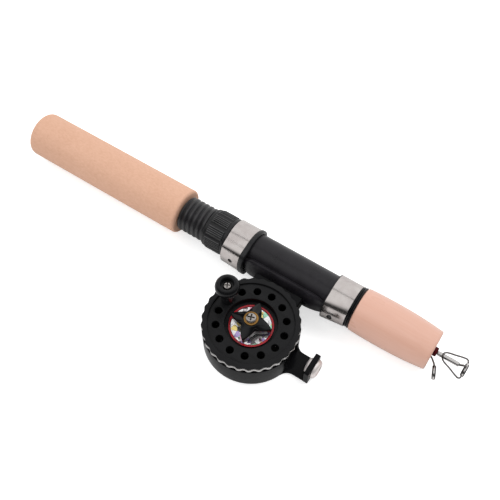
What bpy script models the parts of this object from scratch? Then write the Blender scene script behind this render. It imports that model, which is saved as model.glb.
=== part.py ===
"""Telescopic ice fishing rod, collapsed, with a small single-action reel in its reel seat.

The rod lies on its side: its axis is parallel to X with the tip at +X, the reel hangs off it
towards -Y, and the reel's own axis is vertical. Everything is placed under the empty rod_axis,
whose origin is on the rod's axis. The object's own origin is the bottom centre of its box.
"""

import math

import bmesh
import bpy
from mathutils import Matrix, Vector

# Stations along the rod, measured on rod_axis (metres).
BUTT_X = -0.2827
REAR_GRIP_FRONT_X = -0.1707
THREAD_FRONT_X = -0.1355
NUT_REAR_X = -0.1520
NUT_FRONT_X = -0.1368
REAR_HOOD_REAR_X = -0.1364
REAR_BAND_FRONT_X = -0.1232
REAR_HOOD_FRONT_X = -0.1210
FRONT_HOOD_REAR_X = -0.0700
FRONT_BAND_REAR_X = -0.0695
FRONT_HOOD_FRONT_X = -0.0560
FRONT_GRIP_REAR_X = -0.0531
FRONT_GRIP_FRONT_X = -0.0069

# Radii about the rod's axis.
GRIP_RADIUS = 0.0140
HANDLE_TUBE_RADIUS = 0.0065
HANDLE_TUBE_BORE = 0.0042
SEAT_RADIUS = 0.0109
SEAT_BORE = 0.0068
THREAD_CREST = 0.01068
THREAD_DEPTH = 0.0011
THREAD_PITCH = 0.00325
NUT_RADIUS = 0.0123
NUT_BORE = 0.01095
NUT_PANELS = 10
HOOD_BORE = 0.0111
REAR_BAND_RADIUS = 0.01267
FRONT_BAND_RADIUS = 0.0123
BAND_WALL = 0.00045
HOOD_GAP = 0.00012
# How far each hood is raised over the tongue under it, at its rear edge and at its front edge.
REAR_BULGES = (0.0018, 0.0023)
FRONT_BULGES = (0.0020, 0.0005)
REAR_POCKET = 0.0024
FRONT_POCKET = 0.0013
BAND_HOLE_OUT = 0.0180
REAR_BAND_HOLE = 0.0014
FRONT_BAND_HOLE = 0.0015
FRONT_BAND_HOLE_STRETCH = 1.6

# Reel foot: a saddle on the -Y side of the seat, with a tongue under each hood.
FOOT_BORE = 0.01118
FOOT_RADIUS = 0.0139
STEM_GAP = 0.0003
FOOT_SCREW_XS = (-0.1045, -0.0890)

# Reel, measured from the reel's axis and from the height of the rod's axis.
REEL_X = -0.09675
REEL_Y = -0.04253
CUP_RADIUS = 0.0271
CUP_WALL = 0.0014
CUP_TOP = 0.0032
CUP_BOTTOM = -GRIP_RADIUS
CUP_FLOOR = -0.0113
FLANGE_RADIUS = 0.02685
FLANGE_WAVE = 0.00035
FLANGE_WAVES = 30
FLANGE_BOTTOM = 0.0043
FLANGE_TOP = 0.0083
FLANGE_FACE = 0.0073
RIM_BOTTOM = 0.0069
RIM_STEP_RADIUS = 0.0254
RIM_INNER_RADIUS = 0.0238
OPENING_RADIUS = 0.0146
OPENING_FLOOR = 0.0030
HOLE_CIRCLE = 0.01922
HOLE_RADIUS = 0.00215
HOLE_COUNT = 14
HOLE_START = math.radians(112.6)
CRANK_HOLE = 12
DRUM_RADIUS = 0.0165
REAR_FLANGE_RADIUS = 0.0243
SPINDLE_RADIUS = 0.0020
SPINDLE_BOTTOM = -0.0110
SPINDLE_TOP = 0.0126
SCREW_HOLE = 0.00115
TRIM_RADII = (0.0044, 0.0112, 0.0114, 0.0125)
STAR_TIP_RADIUS = 0.0120
STAR_WAIST_RADIUS = 0.0062
STAR_FIRST_ARM = math.radians(9)
CRANK_TOP = 0.0256

# Line guide arm and plate on the reel frame.
ARM_FAR_Y = -0.0348
ARM_NEAR_Y = -0.0484
ARM_TOP = -0.0120
PLATE_REAR_X = -0.0596
PLATE_FRONT_X = -0.0567
PLATE_TOP = -0.0011
EYELET_Y = -0.0409
EYELET_Z = -0.0073
EYELET_BORE = 0.0030

# Telescoping sections.
MID_REAR_X = -0.2660
MID_FRONT_X = -0.0049
MID_BORE = 0.0017
WRAP_RADIUS = 0.00265
TIP_REAR_X = -0.2600
TIP_BLANK_FRONT_X = 0.0060
TIP_TUBE_REAR_X = -0.0046
TIP_WIRE_REAR_X = -0.0021
TIP_TUBE_FRONT_X = 0.0079
TIP_TUBE_RADIUS = 0.0013
WIRE_RADIUS = 0.00047
RING_RADIUS = 0.00415
LEG_END_RADIUS = 0.00410
RING_BORE = 0.00305
TIP_RING_X = 0.0117
TIP_RING_DROP = 0.0026
HOOP_WIDTH = 0.0009
INSERT_WIDTH = 0.0020
MID_RING_X = -0.0015
MID_RING_REACH = 0.0102
MID_RING_LEAN = math.radians(22.8)
MID_RING_TURN = math.radians(24.5)

# The object's box, from which its origin follows.
BOX_FRONT_X = TIP_RING_X + 0.5 * INSERT_WIDTH + 0.00005
BOX_NEAR_Y = REEL_Y - (FLANGE_RADIUS + FLANGE_WAVE) * math.cos(math.pi / FLANGE_WAVES)

# Sides of round pieces.
FINE = 36
HOOD_COLUMNS = 40
MEDIUM = 28
COARSE = 18
SMALL = 12

COLOURS = {
    "grip foam": ((0.80, 0.50, 0.35), 0.75, 0.0),
    "grip lacquered": ((0.80, 0.47, 0.34), 0.35, 0.0),
    "black plastic": ((0.012, 0.012, 0.014), 0.38, 0.0),
    "satin black tube": ((0.016, 0.016, 0.018), 0.45, 0.0),
    "graphite": ((0.03, 0.03, 0.035), 0.5, 0.0),
    "chrome": ((0.72, 0.71, 0.70), 0.12, 1.0),
    "steel": ((0.60, 0.60, 0.61), 0.25, 1.0),
    "brass": ((0.62, 0.42, 0.16), 0.28, 1.0),
    "red trim": ((0.55, 0.02, 0.03), 0.35, 0.0),
    "prismatic foil": ((0.75, 0.76, 0.78), 0.15, 1.0),
    "maroon thread": ((0.22, 0.015, 0.02), 0.35, 0.0),
    "ceramic": ((0.02, 0.02, 0.022), 0.2, 0.0),
}


def clear_scene():
    for obj in list(bpy.data.objects):
        bpy.data.objects.remove(obj, do_unlink=True)


def make_collection(name, hidden=False):
    collection = bpy.data.collections.new(name)
    collection.hide_render = hidden
    bpy.context.scene.collection.children.link(collection)
    return collection


def make_material(name):
    colour, roughness, metallic = COLOURS[name]
    material = bpy.data.materials.new(name)
    material.use_nodes = True
    shader = material.node_tree.nodes["Principled BSDF"]
    shader.inputs["Base Color"].default_value = (*colour, 1.0)
    shader.inputs["Roughness"].default_value = roughness
    shader.inputs["Metallic"].default_value = metallic
    return material


def make_empty(name, location, parent=None):
    empty = bpy.data.objects.new(name, None)
    empty.empty_display_size = 0.01
    empty.location = location
    empty.parent = parent
    parts.objects.link(empty)
    return empty


def place(obj, parent, location=(0.0, 0.0, 0.0), axis="Z"):
    """Puts the object under its parent, with its local Z along the named axis."""
    turns = {"Z": (0.0, 0.0, 0.0), "X": (0.0, math.radians(90), 0.0), "Y": (math.radians(-90), 0.0, 0.0)}
    obj.parent = parent
    obj.location = location
    obj.rotation_euler = turns[axis]
    return obj


def add_part(name, data, material):
    obj = bpy.data.objects.new(name, data)
    data.materials.append(make_material(material))
    parts.objects.link(obj)
    return obj


def move_to_cutters(obj):
    parts.objects.unlink(obj)
    cutters.objects.link(obj)
    obj.hide_render = True
    obj.display_type = "WIRE"
    return obj


def finish_mesh(mesh, sharp_angle=35):
    mesh.shade_smooth()
    mesh.set_sharp_from_angle(angle=math.radians(sharp_angle))


def boolean(obj, other, operation):
    modifier = obj.modifiers.new(other.name, "BOOLEAN")
    modifier.operation = operation
    modifier.solver = "EXACT"
    modifier.object = other


def cut(obj, other):
    boolean(obj, move_to_cutters(other), "DIFFERENCE")


def join(obj, other):
    boolean(obj, move_to_cutters(other), "UNION")


def arc(along, radius, size, start, end, steps):
    """Points (along, radius) on a round of the given size, from start to end in degrees."""
    angles = [math.radians(start + (end - start) * i / steps) for i in range(steps + 1)]
    return [(along + size * math.cos(a), radius + size * math.sin(a)) for a in angles]


def turned(name, outer, bore, steps, material):
    """A turned piece: outer and bore are (along, radius) points, each from low to high along."""
    profile = [(radius, along) for along, radius in reversed(outer)]
    if bore:
        profile += [(radius, along) for along, radius in bore]
    else:
        profile = [(0.0, outer[-1][0])] + profile + [(0.0, outer[0][0])]
    mesh = bpy.data.meshes.new(name)
    vertices = [(radius, 0.0, along) for radius, along in profile]
    edges = [(i, i + 1) for i in range(len(vertices) - 1)]
    if bore:
        edges.append((len(vertices) - 1, 0))
    mesh.from_pydata(vertices, edges, [])
    obj = add_part(name, mesh, material)
    screw = obj.modifiers.new("turn", "SCREW")
    screw.axis = "Z"
    screw.steps = steps
    screw.render_steps = steps
    screw.use_merge_vertices = True
    screw.merge_threshold = 0.00001
    screw.use_smooth_shade = True
    return obj


def lofted(name, rings, material, closed_round):
    """A skin over equal rings of points: closed_round joins the last ring to the first.

    Every quad is split on the same diagonal in X, so that nested shells keep their gap.
    """
    mesh = bpy.data.meshes.new(name)
    shape = bmesh.new()
    loops = [[shape.verts.new(point) for point in ring] for ring in rings]
    count = len(loops[0])
    pairs = list(zip(loops, loops[1:]))
    if closed_round:
        pairs.append((loops[-1], loops[0]))
    for first, second in pairs:
        for i in range(count):
            j = (i + 1) % count
            a, b = (i, j) if second[i].co.x > first[i].co.x else (j, i)
            shape.faces.new((first[a], first[b], second[b]))
            shape.faces.new((first[a], second[b], second[a]))
    if not closed_round:
        shape.faces.new(loops[0])
        shape.faces.new(loops[-1])
    bmesh.ops.recalc_face_normals(shape, faces=shape.faces)
    shape.to_mesh(mesh)
    shape.free()
    finish_mesh(mesh)
    return add_part(name, mesh, material)


def shell_about_x(name, outer, inner, columns, material):
    """A shell round the rod's axis: each row is (x, radius at an angle counted from -Y to +Z)."""
    rings = []
    for x, radius_at in outer + list(reversed(inner)):
        ring = []
        for i in range(columns):
            angle = 2 * math.pi * i / columns
            radius = radius_at(angle)
            ring.append((x(angle) if callable(x) else x, -radius * math.cos(angle), radius * math.sin(angle)))
        rings.append(ring)
    return lofted(name, rings, material, closed_round=True)


def round_at(radius):
    return lambda angle: radius


def outline(name, loops, bottom, top, material):
    """A flat outline, possibly with holes, extruded from bottom to top."""
    curve = bpy.data.curves.new(name, "CURVE")
    curve.dimensions = "2D"
    curve.fill_mode = "BOTH"
    curve.extrude = 0.5 * (top - bottom)
    for points in loops:
        spline = curve.splines.new("POLY")
        spline.points.add(len(points) - 1)
        for point, (x, y) in zip(spline.points, points):
            point.co = (x, y, 0.0, 1.0)
        spline.use_cyclic_u = True
    return curve_to_part(name, curve, material, Matrix.Translation((0.0, 0.0, 0.5 * (top + bottom))))


def wire(name, points, radius, material):
    curve = bpy.data.curves.new(name, "CURVE")
    curve.dimensions = "3D"
    curve.bevel_depth = radius
    curve.bevel_resolution = 2
    curve.use_fill_caps = True
    spline = curve.splines.new("POLY")
    spline.points.add(len(points) - 1)
    for point, position in zip(spline.points, points):
        point.co = (*position, 1.0)
    return curve_to_part(name, curve, material, Matrix.Identity(4))


def curve_to_part(name, curve, material, move):
    """Turns a curve into a closed mesh part."""
    source = bpy.data.objects.new(name + "_curve", curve)
    parts.objects.link(source)
    bpy.context.view_layer.update()
    evaluated = source.evaluated_get(bpy.context.evaluated_depsgraph_get())
    mesh = bpy.data.meshes.new_from_object(evaluated)
    bpy.data.objects.remove(source, do_unlink=True)
    shape = bmesh.new()
    shape.from_mesh(mesh)
    bmesh.ops.remove_doubles(shape, verts=shape.verts, dist=0.000001)
    bmesh.ops.recalc_face_normals(shape, faces=shape.faces)
    shape.to_mesh(mesh)
    shape.free()
    mesh.transform(move)
    mesh.name = name
    mesh.materials.clear()
    finish_mesh(mesh)
    return add_part(name, mesh, material)


def box(name, low, high, material, bevel=0.0):
    mesh = bpy.data.meshes.new(name)
    shape = bmesh.new()
    bmesh.ops.create_cube(shape, size=1.0)
    size = [b - a for a, b in zip(low, high)]
    middle = [0.5 * (a + b) for a, b in zip(low, high)]
    bmesh.ops.scale(shape, vec=size, verts=shape.verts)
    bmesh.ops.translate(shape, vec=middle, verts=shape.verts)
    shape.to_mesh(mesh)
    shape.free()
    obj = add_part(name, mesh, material)
    if bevel:
        rounding = obj.modifiers.new("rounding", "BEVEL")
        rounding.width = bevel
        rounding.segments = 2
    return obj


def cylinder(name, radius, bottom, top, sides, at=(0.0, 0.0)):
    """A plain cylinder along local Z, used as a cutter."""
    mesh = bpy.data.meshes.new(name)
    shape = bmesh.new()
    bmesh.ops.create_cone(
        shape, cap_ends=True, segments=sides, radius1=radius, radius2=radius, depth=top - bottom
    )
    bmesh.ops.translate(shape, vec=(at[0], at[1], 0.5 * (bottom + top)), verts=shape.verts)
    shape.to_mesh(mesh)
    shape.free()
    return add_part(name, mesh, "steel")


def circle(radius, count, centre=(0.0, 0.0)):
    angles = [2 * math.pi * i / count for i in range(count)]
    return [(centre[0] + radius * math.cos(a), centre[1] + radius * math.sin(a)) for a in angles]


def phillips_screw(name, head_radius, head_bottom, head_height, shank_radius, shank_bottom):
    """A pan-head cross-recess screw pointing down local Z."""
    outer = [
        (shank_bottom, shank_radius),
        (head_bottom, shank_radius),
        (head_bottom, head_radius),
        (head_bottom + 0.45 * head_height, head_radius),
        (head_bottom + 0.8 * head_height, 0.8 * head_radius),
        (head_bottom + head_height, 0.45 * head_radius),
    ]
    screw = turned(name, outer, None, SMALL, "chrome")
    slot_low = head_bottom + 0.5 * head_height
    slot_high = head_bottom + 2 * head_height
    long_side = 0.55 * head_radius
    short_side = 0.15 * head_radius
    across = box(name + "_slot_a", (-long_side, -short_side, slot_low), (long_side, short_side, slot_high), "steel")
    along = box(name + "_slot_b", (-short_side, -long_side, slot_low), (short_side, long_side, slot_high), "steel")
    join(across, along)
    cut(screw, across)
    return screw, [across, along]


def place_screw(screw_and_slots, parent, location=(0.0, 0.0, 0.0), axis="Z"):
    screw, slots = screw_and_slots
    place(screw, parent, location, axis)
    for slot in slots:
        place(slot, parent, location, axis)


# ---- Handle ------------------------------------------------------------------------------


def make_rear_grip():
    rear_edge = 0.0030
    front_edge = 0.0016
    outer = arc(BUTT_X + rear_edge, GRIP_RADIUS - rear_edge, rear_edge, 180, 90, 4)
    outer += arc(REAR_GRIP_FRONT_X - front_edge, GRIP_RADIUS - front_edge, front_edge, 90, 0, 3)
    bore = [(BUTT_X, HANDLE_TUBE_RADIUS + 0.0003), (REAR_GRIP_FRONT_X, HANDLE_TUBE_RADIUS + 0.0003)]
    place(turned("rear_grip", outer, bore, MEDIUM, "grip foam"), rod_axis, axis="X")


def make_butt_cap():
    """A flanged plug that closes the rear end of the handle tube, flush with the grip's end."""
    plug_front = BUTT_X + 0.008
    outer = [
        (BUTT_X + 0.0002, HANDLE_TUBE_RADIUS - 0.0004),
        (BUTT_X + 0.0005, HANDLE_TUBE_RADIUS),
        (BUTT_X + 0.0020, HANDLE_TUBE_RADIUS),
        (BUTT_X + 0.0020, HANDLE_TUBE_BORE - 0.0003),
        (plug_front, HANDLE_TUBE_BORE - 0.0005),
    ]
    place(turned("butt_cap", outer, None, COARSE, "black plastic"), rod_axis, axis="X")


def make_handle_tube():
    rear = BUTT_X + 0.0023
    front = FRONT_GRIP_FRONT_X - 0.0003
    outer = [(rear, HANDLE_TUBE_RADIUS), (front, HANDLE_TUBE_RADIUS)]
    bore = [(rear, HANDLE_TUBE_BORE), (front, HANDLE_TUBE_BORE)]
    place(turned("handle_tube", outer, bore, COARSE, "graphite"), rod_axis, axis="X")


def make_seat_tube():
    """The reel seat's tube. Its rear third carries the right-hand screw thread of the lock nut."""
    rear = REAR_GRIP_FRONT_X + 0.0003
    rows_per_turn = 4
    middle = THREAD_CREST - 0.5 * THREAD_DEPTH
    turn_count = int((THREAD_FRONT_X - rear) / THREAD_PITCH)

    def thread_at(x):
        phase = 2 * math.pi * x / THREAD_PITCH
        return lambda angle: middle + 0.5 * THREAD_DEPTH * math.cos(phase + angle)

    outer = [(rear, round_at(THREAD_CREST - THREAD_DEPTH))]
    for row in range(1, rows_per_turn * turn_count):
        x = rear + row * THREAD_PITCH / rows_per_turn
        outer.append((x, thread_at(x)))
    outer.append((THREAD_FRONT_X - 0.0004, round_at(THREAD_CREST - THREAD_DEPTH)))
    outer.append((THREAD_FRONT_X, round_at(SEAT_RADIUS)))
    outer.append((FRONT_GRIP_REAR_X - 0.0003, round_at(SEAT_RADIUS)))
    inner = [(rear, round_at(SEAT_BORE)), (FRONT_GRIP_REAR_X - 0.0003, round_at(SEAT_BORE))]
    place(shell_about_x("seat_tube", outer, inner, 24, "satin black tube"), rod_axis)


def make_winding_check():
    """The double trim ring between the front hood and the front grip."""
    rear = FRONT_HOOD_FRONT_X + 0.0003
    front = FRONT_GRIP_REAR_X - 0.0002
    middle = 0.5 * (rear + front)
    outer = [
        (rear, 0.0120),
        (rear + 0.0004, 0.0125),
        (middle - 0.0002, 0.0123),
        (middle, 0.0119),
        (middle + 0.0002, 0.0124),
        (front - 0.0004, 0.0127),
        (front, 0.0122),
    ]
    bore = [(rear, SEAT_RADIUS + 0.0002), (front, SEAT_RADIUS + 0.0002)]
    place(turned("winding_check", outer, bore, MEDIUM, "black plastic"), rod_axis, axis="X")


def make_front_grip():
    end = FRONT_GRIP_FRONT_X
    outer = [
        (FRONT_GRIP_REAR_X, 0.0124),
        (FRONT_GRIP_REAR_X + 0.0006, 0.0129),
        (-0.0460, 0.0132),
        (-0.0360, 0.0133),
        (-0.0260, 0.0131),
        (-0.0190, 0.0127),
        (-0.0125, 0.0121),
        (end - 0.0003, 0.0115),
        (end, 0.0112),
    ]
    bore_radius = HANDLE_TUBE_RADIUS + 0.0003
    bore = [(FRONT_GRIP_REAR_X, bore_radius), (end, bore_radius)]
    place(turned("front_grip", outer, bore, MEDIUM, "grip lacquered"), rod_axis, axis="X")


# ---- Hoods and lock nut ------------------------------------------------------------------


def smooth_fall(angle, full, none):
    """1 up to the angle full on both sides of -Y, falling smoothly to 0 at the angle none."""
    away = abs((angle + math.pi) % (2 * math.pi) - math.pi)
    share = (math.radians(none) - away) / math.radians(none - full)
    share = min(1.0, max(0.0, share))
    return share * share * (3 - 2 * share)


def bulged(radius, bulge):
    """A hood's outline: round, and raised over the reel foot's tongue on the -Y side."""
    return lambda angle: radius + bulge * smooth_fall(angle, 34, 66)


def pocketed(radius, depth):
    """A hood's bore: round, with the pocket that takes the tongue."""
    return lambda angle: radius + depth * smooth_fall(angle, 36.5, 40)



def slanted(x, slant):
    """An edge that leans by slant on the foot side."""
    return lambda angle: x + slant * 0.5 * (1 + math.cos(angle))


def make_rear_hood():
    band_slant = -0.0012
    liner_outer = REAR_BAND_RADIUS - BAND_WALL - HOOD_GAP
    pocket_rear_x = REAR_HOOD_FRONT_X - 0.0092
    lip_rear = slanted(REAR_BAND_FRONT_X + 0.0002, band_slant)
    outer = [
        (REAR_HOOD_REAR_X, bulged(liner_outer, REAR_BULGES[0])),
        (lip_rear, bulged(liner_outer, REAR_BULGES[1])),
        (lip_rear, bulged(REAR_BAND_RADIUS + 0.0003, REAR_BULGES[1] + 0.0002)),
        (REAR_HOOD_FRONT_X - 0.0005, bulged(REAR_BAND_RADIUS + 0.0003, REAR_BULGES[1] + 0.0002)),
        (REAR_HOOD_FRONT_X, bulged(REAR_BAND_RADIUS - 0.0003, REAR_BULGES[1])),
    ]
    inner = [
        (REAR_HOOD_REAR_X, round_at(HOOD_BORE)),
        (pocket_rear_x, round_at(HOOD_BORE)),
        (pocket_rear_x + 0.0002, pocketed(HOOD_BORE, REAR_POCKET)),
        (REAR_HOOD_FRONT_X, pocketed(HOOD_BORE, REAR_POCKET)),
    ]
    liner = shell_about_x("rear_hood_liner", outer, inner, HOOD_COLUMNS, "black plastic")
    place(liner, rod_axis)
    band_front = slanted(REAR_BAND_FRONT_X, band_slant)
    outer = [
        (REAR_HOOD_REAR_X, bulged(REAR_BAND_RADIUS, REAR_BULGES[0])),
        (band_front, bulged(REAR_BAND_RADIUS, REAR_BULGES[1])),
    ]
    inner = [
        (REAR_HOOD_REAR_X, bulged(REAR_BAND_RADIUS - BAND_WALL, REAR_BULGES[0])),
        (band_front, bulged(REAR_BAND_RADIUS - BAND_WALL, REAR_BULGES[1])),
    ]
    band = shell_about_x("rear_hood_band", outer, inner, HOOD_COLUMNS, "chrome")
    place(band, rod_axis)
    hole = cylinder("rear_band_hole", REAR_BAND_HOLE, 0.0125, BAND_HOLE_OUT, SMALL)
    place(hole, rod_axis, (-0.1295, 0.0, 0.0023))
    hole.rotation_euler = (math.radians(90), 0.0, 0.0)
    cut(band, hole)


def make_front_hood():
    liner_outer = FRONT_BAND_RADIUS - BAND_WALL - HOOD_GAP
    pocket_front_x = FRONT_HOOD_REAR_X + 0.0065
    outer = [
        (FRONT_HOOD_REAR_X, bulged(FRONT_BAND_RADIUS - 0.0001, FRONT_BULGES[0])),
        (FRONT_BAND_REAR_X - 0.0002, bulged(FRONT_BAND_RADIUS, FRONT_BULGES[0])),
        (FRONT_BAND_REAR_X - 0.0002, bulged(liner_outer, FRONT_BULGES[0])),
        (FRONT_HOOD_FRONT_X, bulged(liner_outer, FRONT_BULGES[1])),
    ]
    inner = [
        (FRONT_HOOD_REAR_X, pocketed(HOOD_BORE, FRONT_POCKET)),
        (pocket_front_x, pocketed(HOOD_BORE, FRONT_POCKET)),
        (pocket_front_x + 0.0002, round_at(HOOD_BORE)),
        (FRONT_HOOD_FRONT_X, round_at(HOOD_BORE)),
    ]
    place(shell_about_x("front_hood_liner", outer, inner, HOOD_COLUMNS, "black plastic"), rod_axis)
    rows = list(zip((FRONT_BAND_REAR_X, FRONT_HOOD_FRONT_X), FRONT_BULGES))
    outer = [(x, bulged(FRONT_BAND_RADIUS, bulge)) for x, bulge in rows]
    inner = [(x, bulged(FRONT_BAND_RADIUS - BAND_WALL, bulge)) for x, bulge in rows]
    band = shell_about_x("front_hood_band", outer, inner, HOOD_COLUMNS, "chrome")
    place(band, rod_axis)
    hole = cylinder("front_band_hole", FRONT_BAND_HOLE, 0.0120, BAND_HOLE_OUT, SMALL)
    place(hole, rod_axis, (-0.0643, 0.0, 0.0003))
    hole.rotation_euler = (math.radians(90), 0.0, 0.0)
    hole.scale = (1.0, FRONT_BAND_HOLE_STRETCH, 1.0)
    cut(band, hole)


def make_lock_nut():
    """A threaded ring with ten raised finger panels between smooth grooves."""
    columns = 6 * NUT_PANELS
    groove = NUT_RADIUS - 0.0006

    def panel(angle):
        across = (angle * NUT_PANELS / (2 * math.pi)) % 1.0
        return groove if across < 0.1 or across > 0.9 else NUT_RADIUS

    outer = [
        (NUT_REAR_X, round_at(0.0113)),
        (NUT_REAR_X + 0.0020, round_at(groove)),
        (NUT_REAR_X + 0.0024, panel),
        (NUT_FRONT_X - 0.0028, panel),
        (NUT_FRONT_X - 0.0025, round_at(groove)),
        (NUT_FRONT_X, round_at(0.0121)),
    ]
    inner = [(NUT_REAR_X, round_at(NUT_BORE)), (NUT_FRONT_X, round_at(NUT_BORE))]
    place(shell_about_x("lock_nut", outer, inner, columns, "black plastic"), rod_axis)


# ---- Reel --------------------------------------------------------------------------------


def make_reel_foot():
    """The saddle under the two hoods. Stations are (x, half angle in degrees, outer radius)."""
    stations = [
        (-0.1290, 26, 0.0124),
        (-0.1270, 32, 0.0128),
        (-0.1210, 33, 0.0131),
        (-0.1185, 38, 0.0136),
        (-0.1120, 40, FOOT_RADIUS),
        (-0.0810, 40, FOOT_RADIUS),
        (-0.0740, 38, 0.0132),
        (-0.0702, 33, 0.0121),
        (-0.0665, 32, 0.0120),
        (-0.0645, 26, 0.0118),
    ]
    steps = 8
    rings = []
    for x, half_angle, radius in stations:
        spread = [math.radians(half_angle) * (2 * i / steps - 1) for i in range(steps + 1)]
        ring = [(x, -radius * math.cos(a), radius * math.sin(a)) for a in spread]
        ring += [(x, -FOOT_BORE * math.cos(a), FOOT_BORE * math.sin(a)) for a in reversed(spread)]
        rings.append(ring)
    foot = place(lofted("reel_foot", rings, "black plastic", closed_round=False), rod_axis)
    for number, x in enumerate(FOOT_SCREW_XS, 1):
        hole = turned(
            f"foot_hole_{number}",
            [(-0.0160, 0.0016), (-0.0132, 0.0016), (-0.0114, 0.0029), (-0.0100, 0.0029)],
            None,
            SMALL,
            "steel",
        )
        place(hole, rod_axis, (x, 0.0, 0.0), "Y")
        cut(foot, hole)


def make_foot_screws():
    """Two countersunk screws from the foot's inner side into the frame's stem."""
    for number, x in enumerate(FOOT_SCREW_XS, 1):
        outer = [(-0.0195, 0.0009), (-0.0190, 0.0013), (-0.0135, 0.0013), (-0.0116, 0.0026)]
        screw = turned(f"foot_screw_{number}", outer, None, SMALL, "steel")
        place(screw, rod_axis, (x, 0.0, 0.0), "Y")


def fillet_to_cup(edge_y, size, side):
    """Points of the concave round between the cup and an arm edge at edge_y (relative to the reel)."""
    centre_y = edge_y + side * size
    reach = CUP_RADIUS + size
    centre_x = math.sqrt(reach * reach - centre_y * centre_y)
    start = math.atan2(-side, 0.0)
    end = math.atan2(-centre_y, -centre_x)
    if side < 0 and end < start:
        end += 2 * math.pi
    if side > 0 and end > start:
        end -= 2 * math.pi
    angles = [start + (end - start) * i / 4 for i in range(5)]
    return [(centre_x + size * math.cos(a), centre_y + size * math.sin(a)) for a in angles]


def make_reel_frame():
    """The one-piece frame: a cup behind the spool, the stem to the foot and the line guide arm."""
    chamfer = 0.0012
    outer = [
        (CUP_BOTTOM, CUP_RADIUS - chamfer),
        (CUP_BOTTOM + chamfer, CUP_RADIUS),
        (CUP_TOP, CUP_RADIUS),
    ]
    hollow = [
        (CUP_BOTTOM, 0.0037),
        (CUP_BOTTOM + 0.0016, 0.0037),
        (CUP_BOTTOM + 0.0016, 0.0015),
        (CUP_FLOOR, 0.0015),
        (CUP_FLOOR, CUP_RADIUS - CUP_WALL),
        (CUP_TOP, CUP_RADIUS - CUP_WALL),
    ]
    frame = place(turned("reel_frame", outer, hollow, 48, "black plastic"), reel_axis)

    plate_rear = PLATE_REAR_X - REEL_X
    plate_front = PLATE_FRONT_X - REEL_X
    far_y = ARM_FAR_Y - REEL_Y
    near_y = ARM_NEAR_Y - REEL_Y
    inside = CUP_RADIUS - 0.0008
    root_turn = math.radians(26)
    arm_points = [(plate_rear + 0.001, far_y)]
    arm_points += fillet_to_cup(far_y, 0.0050, 1)
    arm_points += [(inside * math.cos(root_turn), inside * math.sin(root_turn))]
    arm_points += [(inside * math.cos(root_turn), -inside * math.sin(root_turn))]
    arm_points += reversed(fillet_to_cup(near_y, 0.0060, -1))
    arm_points += [(plate_rear + 0.001, near_y)]
    arm = outline("guide_arm", [arm_points], CUP_BOTTOM + 0.0002, ARM_TOP, "black plastic")
    join(frame, place(arm, reel_axis))
    plate = box(
        "guide_plate",
        (plate_rear, near_y - 0.0001, CUP_BOTTOM + 0.0001),
        (plate_front, far_y + 0.0001, PLATE_TOP),
        "black plastic",
        bevel=0.0005,
    )
    join(frame, place(plate, reel_axis))
    stem = box("stem", (-0.1120, -0.0230, -0.0052), (-0.0816, -0.0118, 0.0040), "black plastic", bevel=0.0008)
    join(frame, place(stem, rod_axis))

    saddle = cylinder("foot_seat", FOOT_RADIUS + STEM_GAP, -0.130, -0.060, 48)
    cut(frame, place(saddle, rod_axis, axis="X"))
    inner = cylinder("cup_hollow", CUP_RADIUS - CUP_WALL - 0.00005, CUP_FLOOR + 0.00005, CUP_TOP + 0.01, 48)
    cut(frame, place(inner, reel_axis))
    eyelet = cylinder("eyelet_hole", EYELET_BORE + 0.0011, -0.0650, -0.0550, 20)
    cut(frame, place(eyelet, rod_axis, (0.0, EYELET_Y, EYELET_Z), "X"))
    window_low = (0.0200, EYELET_Y - REEL_Y - 0.0050, CUP_FLOOR + 0.0002)
    window_high = (0.0300, EYELET_Y - REEL_Y + 0.0050, CUP_TOP + 0.0020)
    window = box("line_window", window_low, window_high, "steel")
    cut(frame, place(window, reel_axis))
    for number, x in enumerate(FOOT_SCREW_XS, 1):
        hole = cylinder(f"stem_hole_{number}", 0.0016, -0.0198, -0.0130, SMALL)
        cut(frame, place(hole, rod_axis, (x, 0.0, 0.0), "Y"))


def make_line_guide_eyelet():
    """The chromed eyelet riveted through the guide plate."""
    dome = 0.0026
    outer = [
        (PLATE_REAR_X - 0.0018, EYELET_BORE + 0.0007),
        (PLATE_REAR_X - 0.0012, EYELET_BORE + 0.0014),
        (PLATE_REAR_X - 0.0002, EYELET_BORE + 0.0016),
        (PLATE_REAR_X - 0.0002, EYELET_BORE + 0.0008),
        (PLATE_FRONT_X + 0.0002, EYELET_BORE + 0.0008),
        (PLATE_FRONT_X + 0.0002, EYELET_BORE + 0.0026),
        (PLATE_FRONT_X + 0.4 * dome, EYELET_BORE + 0.0025),
        (PLATE_FRONT_X + 0.8 * dome, EYELET_BORE + 0.0018),
        (PLATE_FRONT_X + dome, EYELET_BORE + 0.0008),
    ]
    bore = [
        (PLATE_REAR_X - 0.0018, EYELET_BORE + 0.0003),
        (PLATE_REAR_X - 0.0010, EYELET_BORE),
        (PLATE_FRONT_X + 0.6 * dome, EYELET_BORE),
        (PLATE_FRONT_X + dome, EYELET_BORE + 0.0002),
    ]
    eyelet = turned("line_guide_eyelet", outer, bore, COARSE, "chrome")
    place(eyelet, rod_axis, (0.0, EYELET_Y, EYELET_Z), "X")


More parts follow.
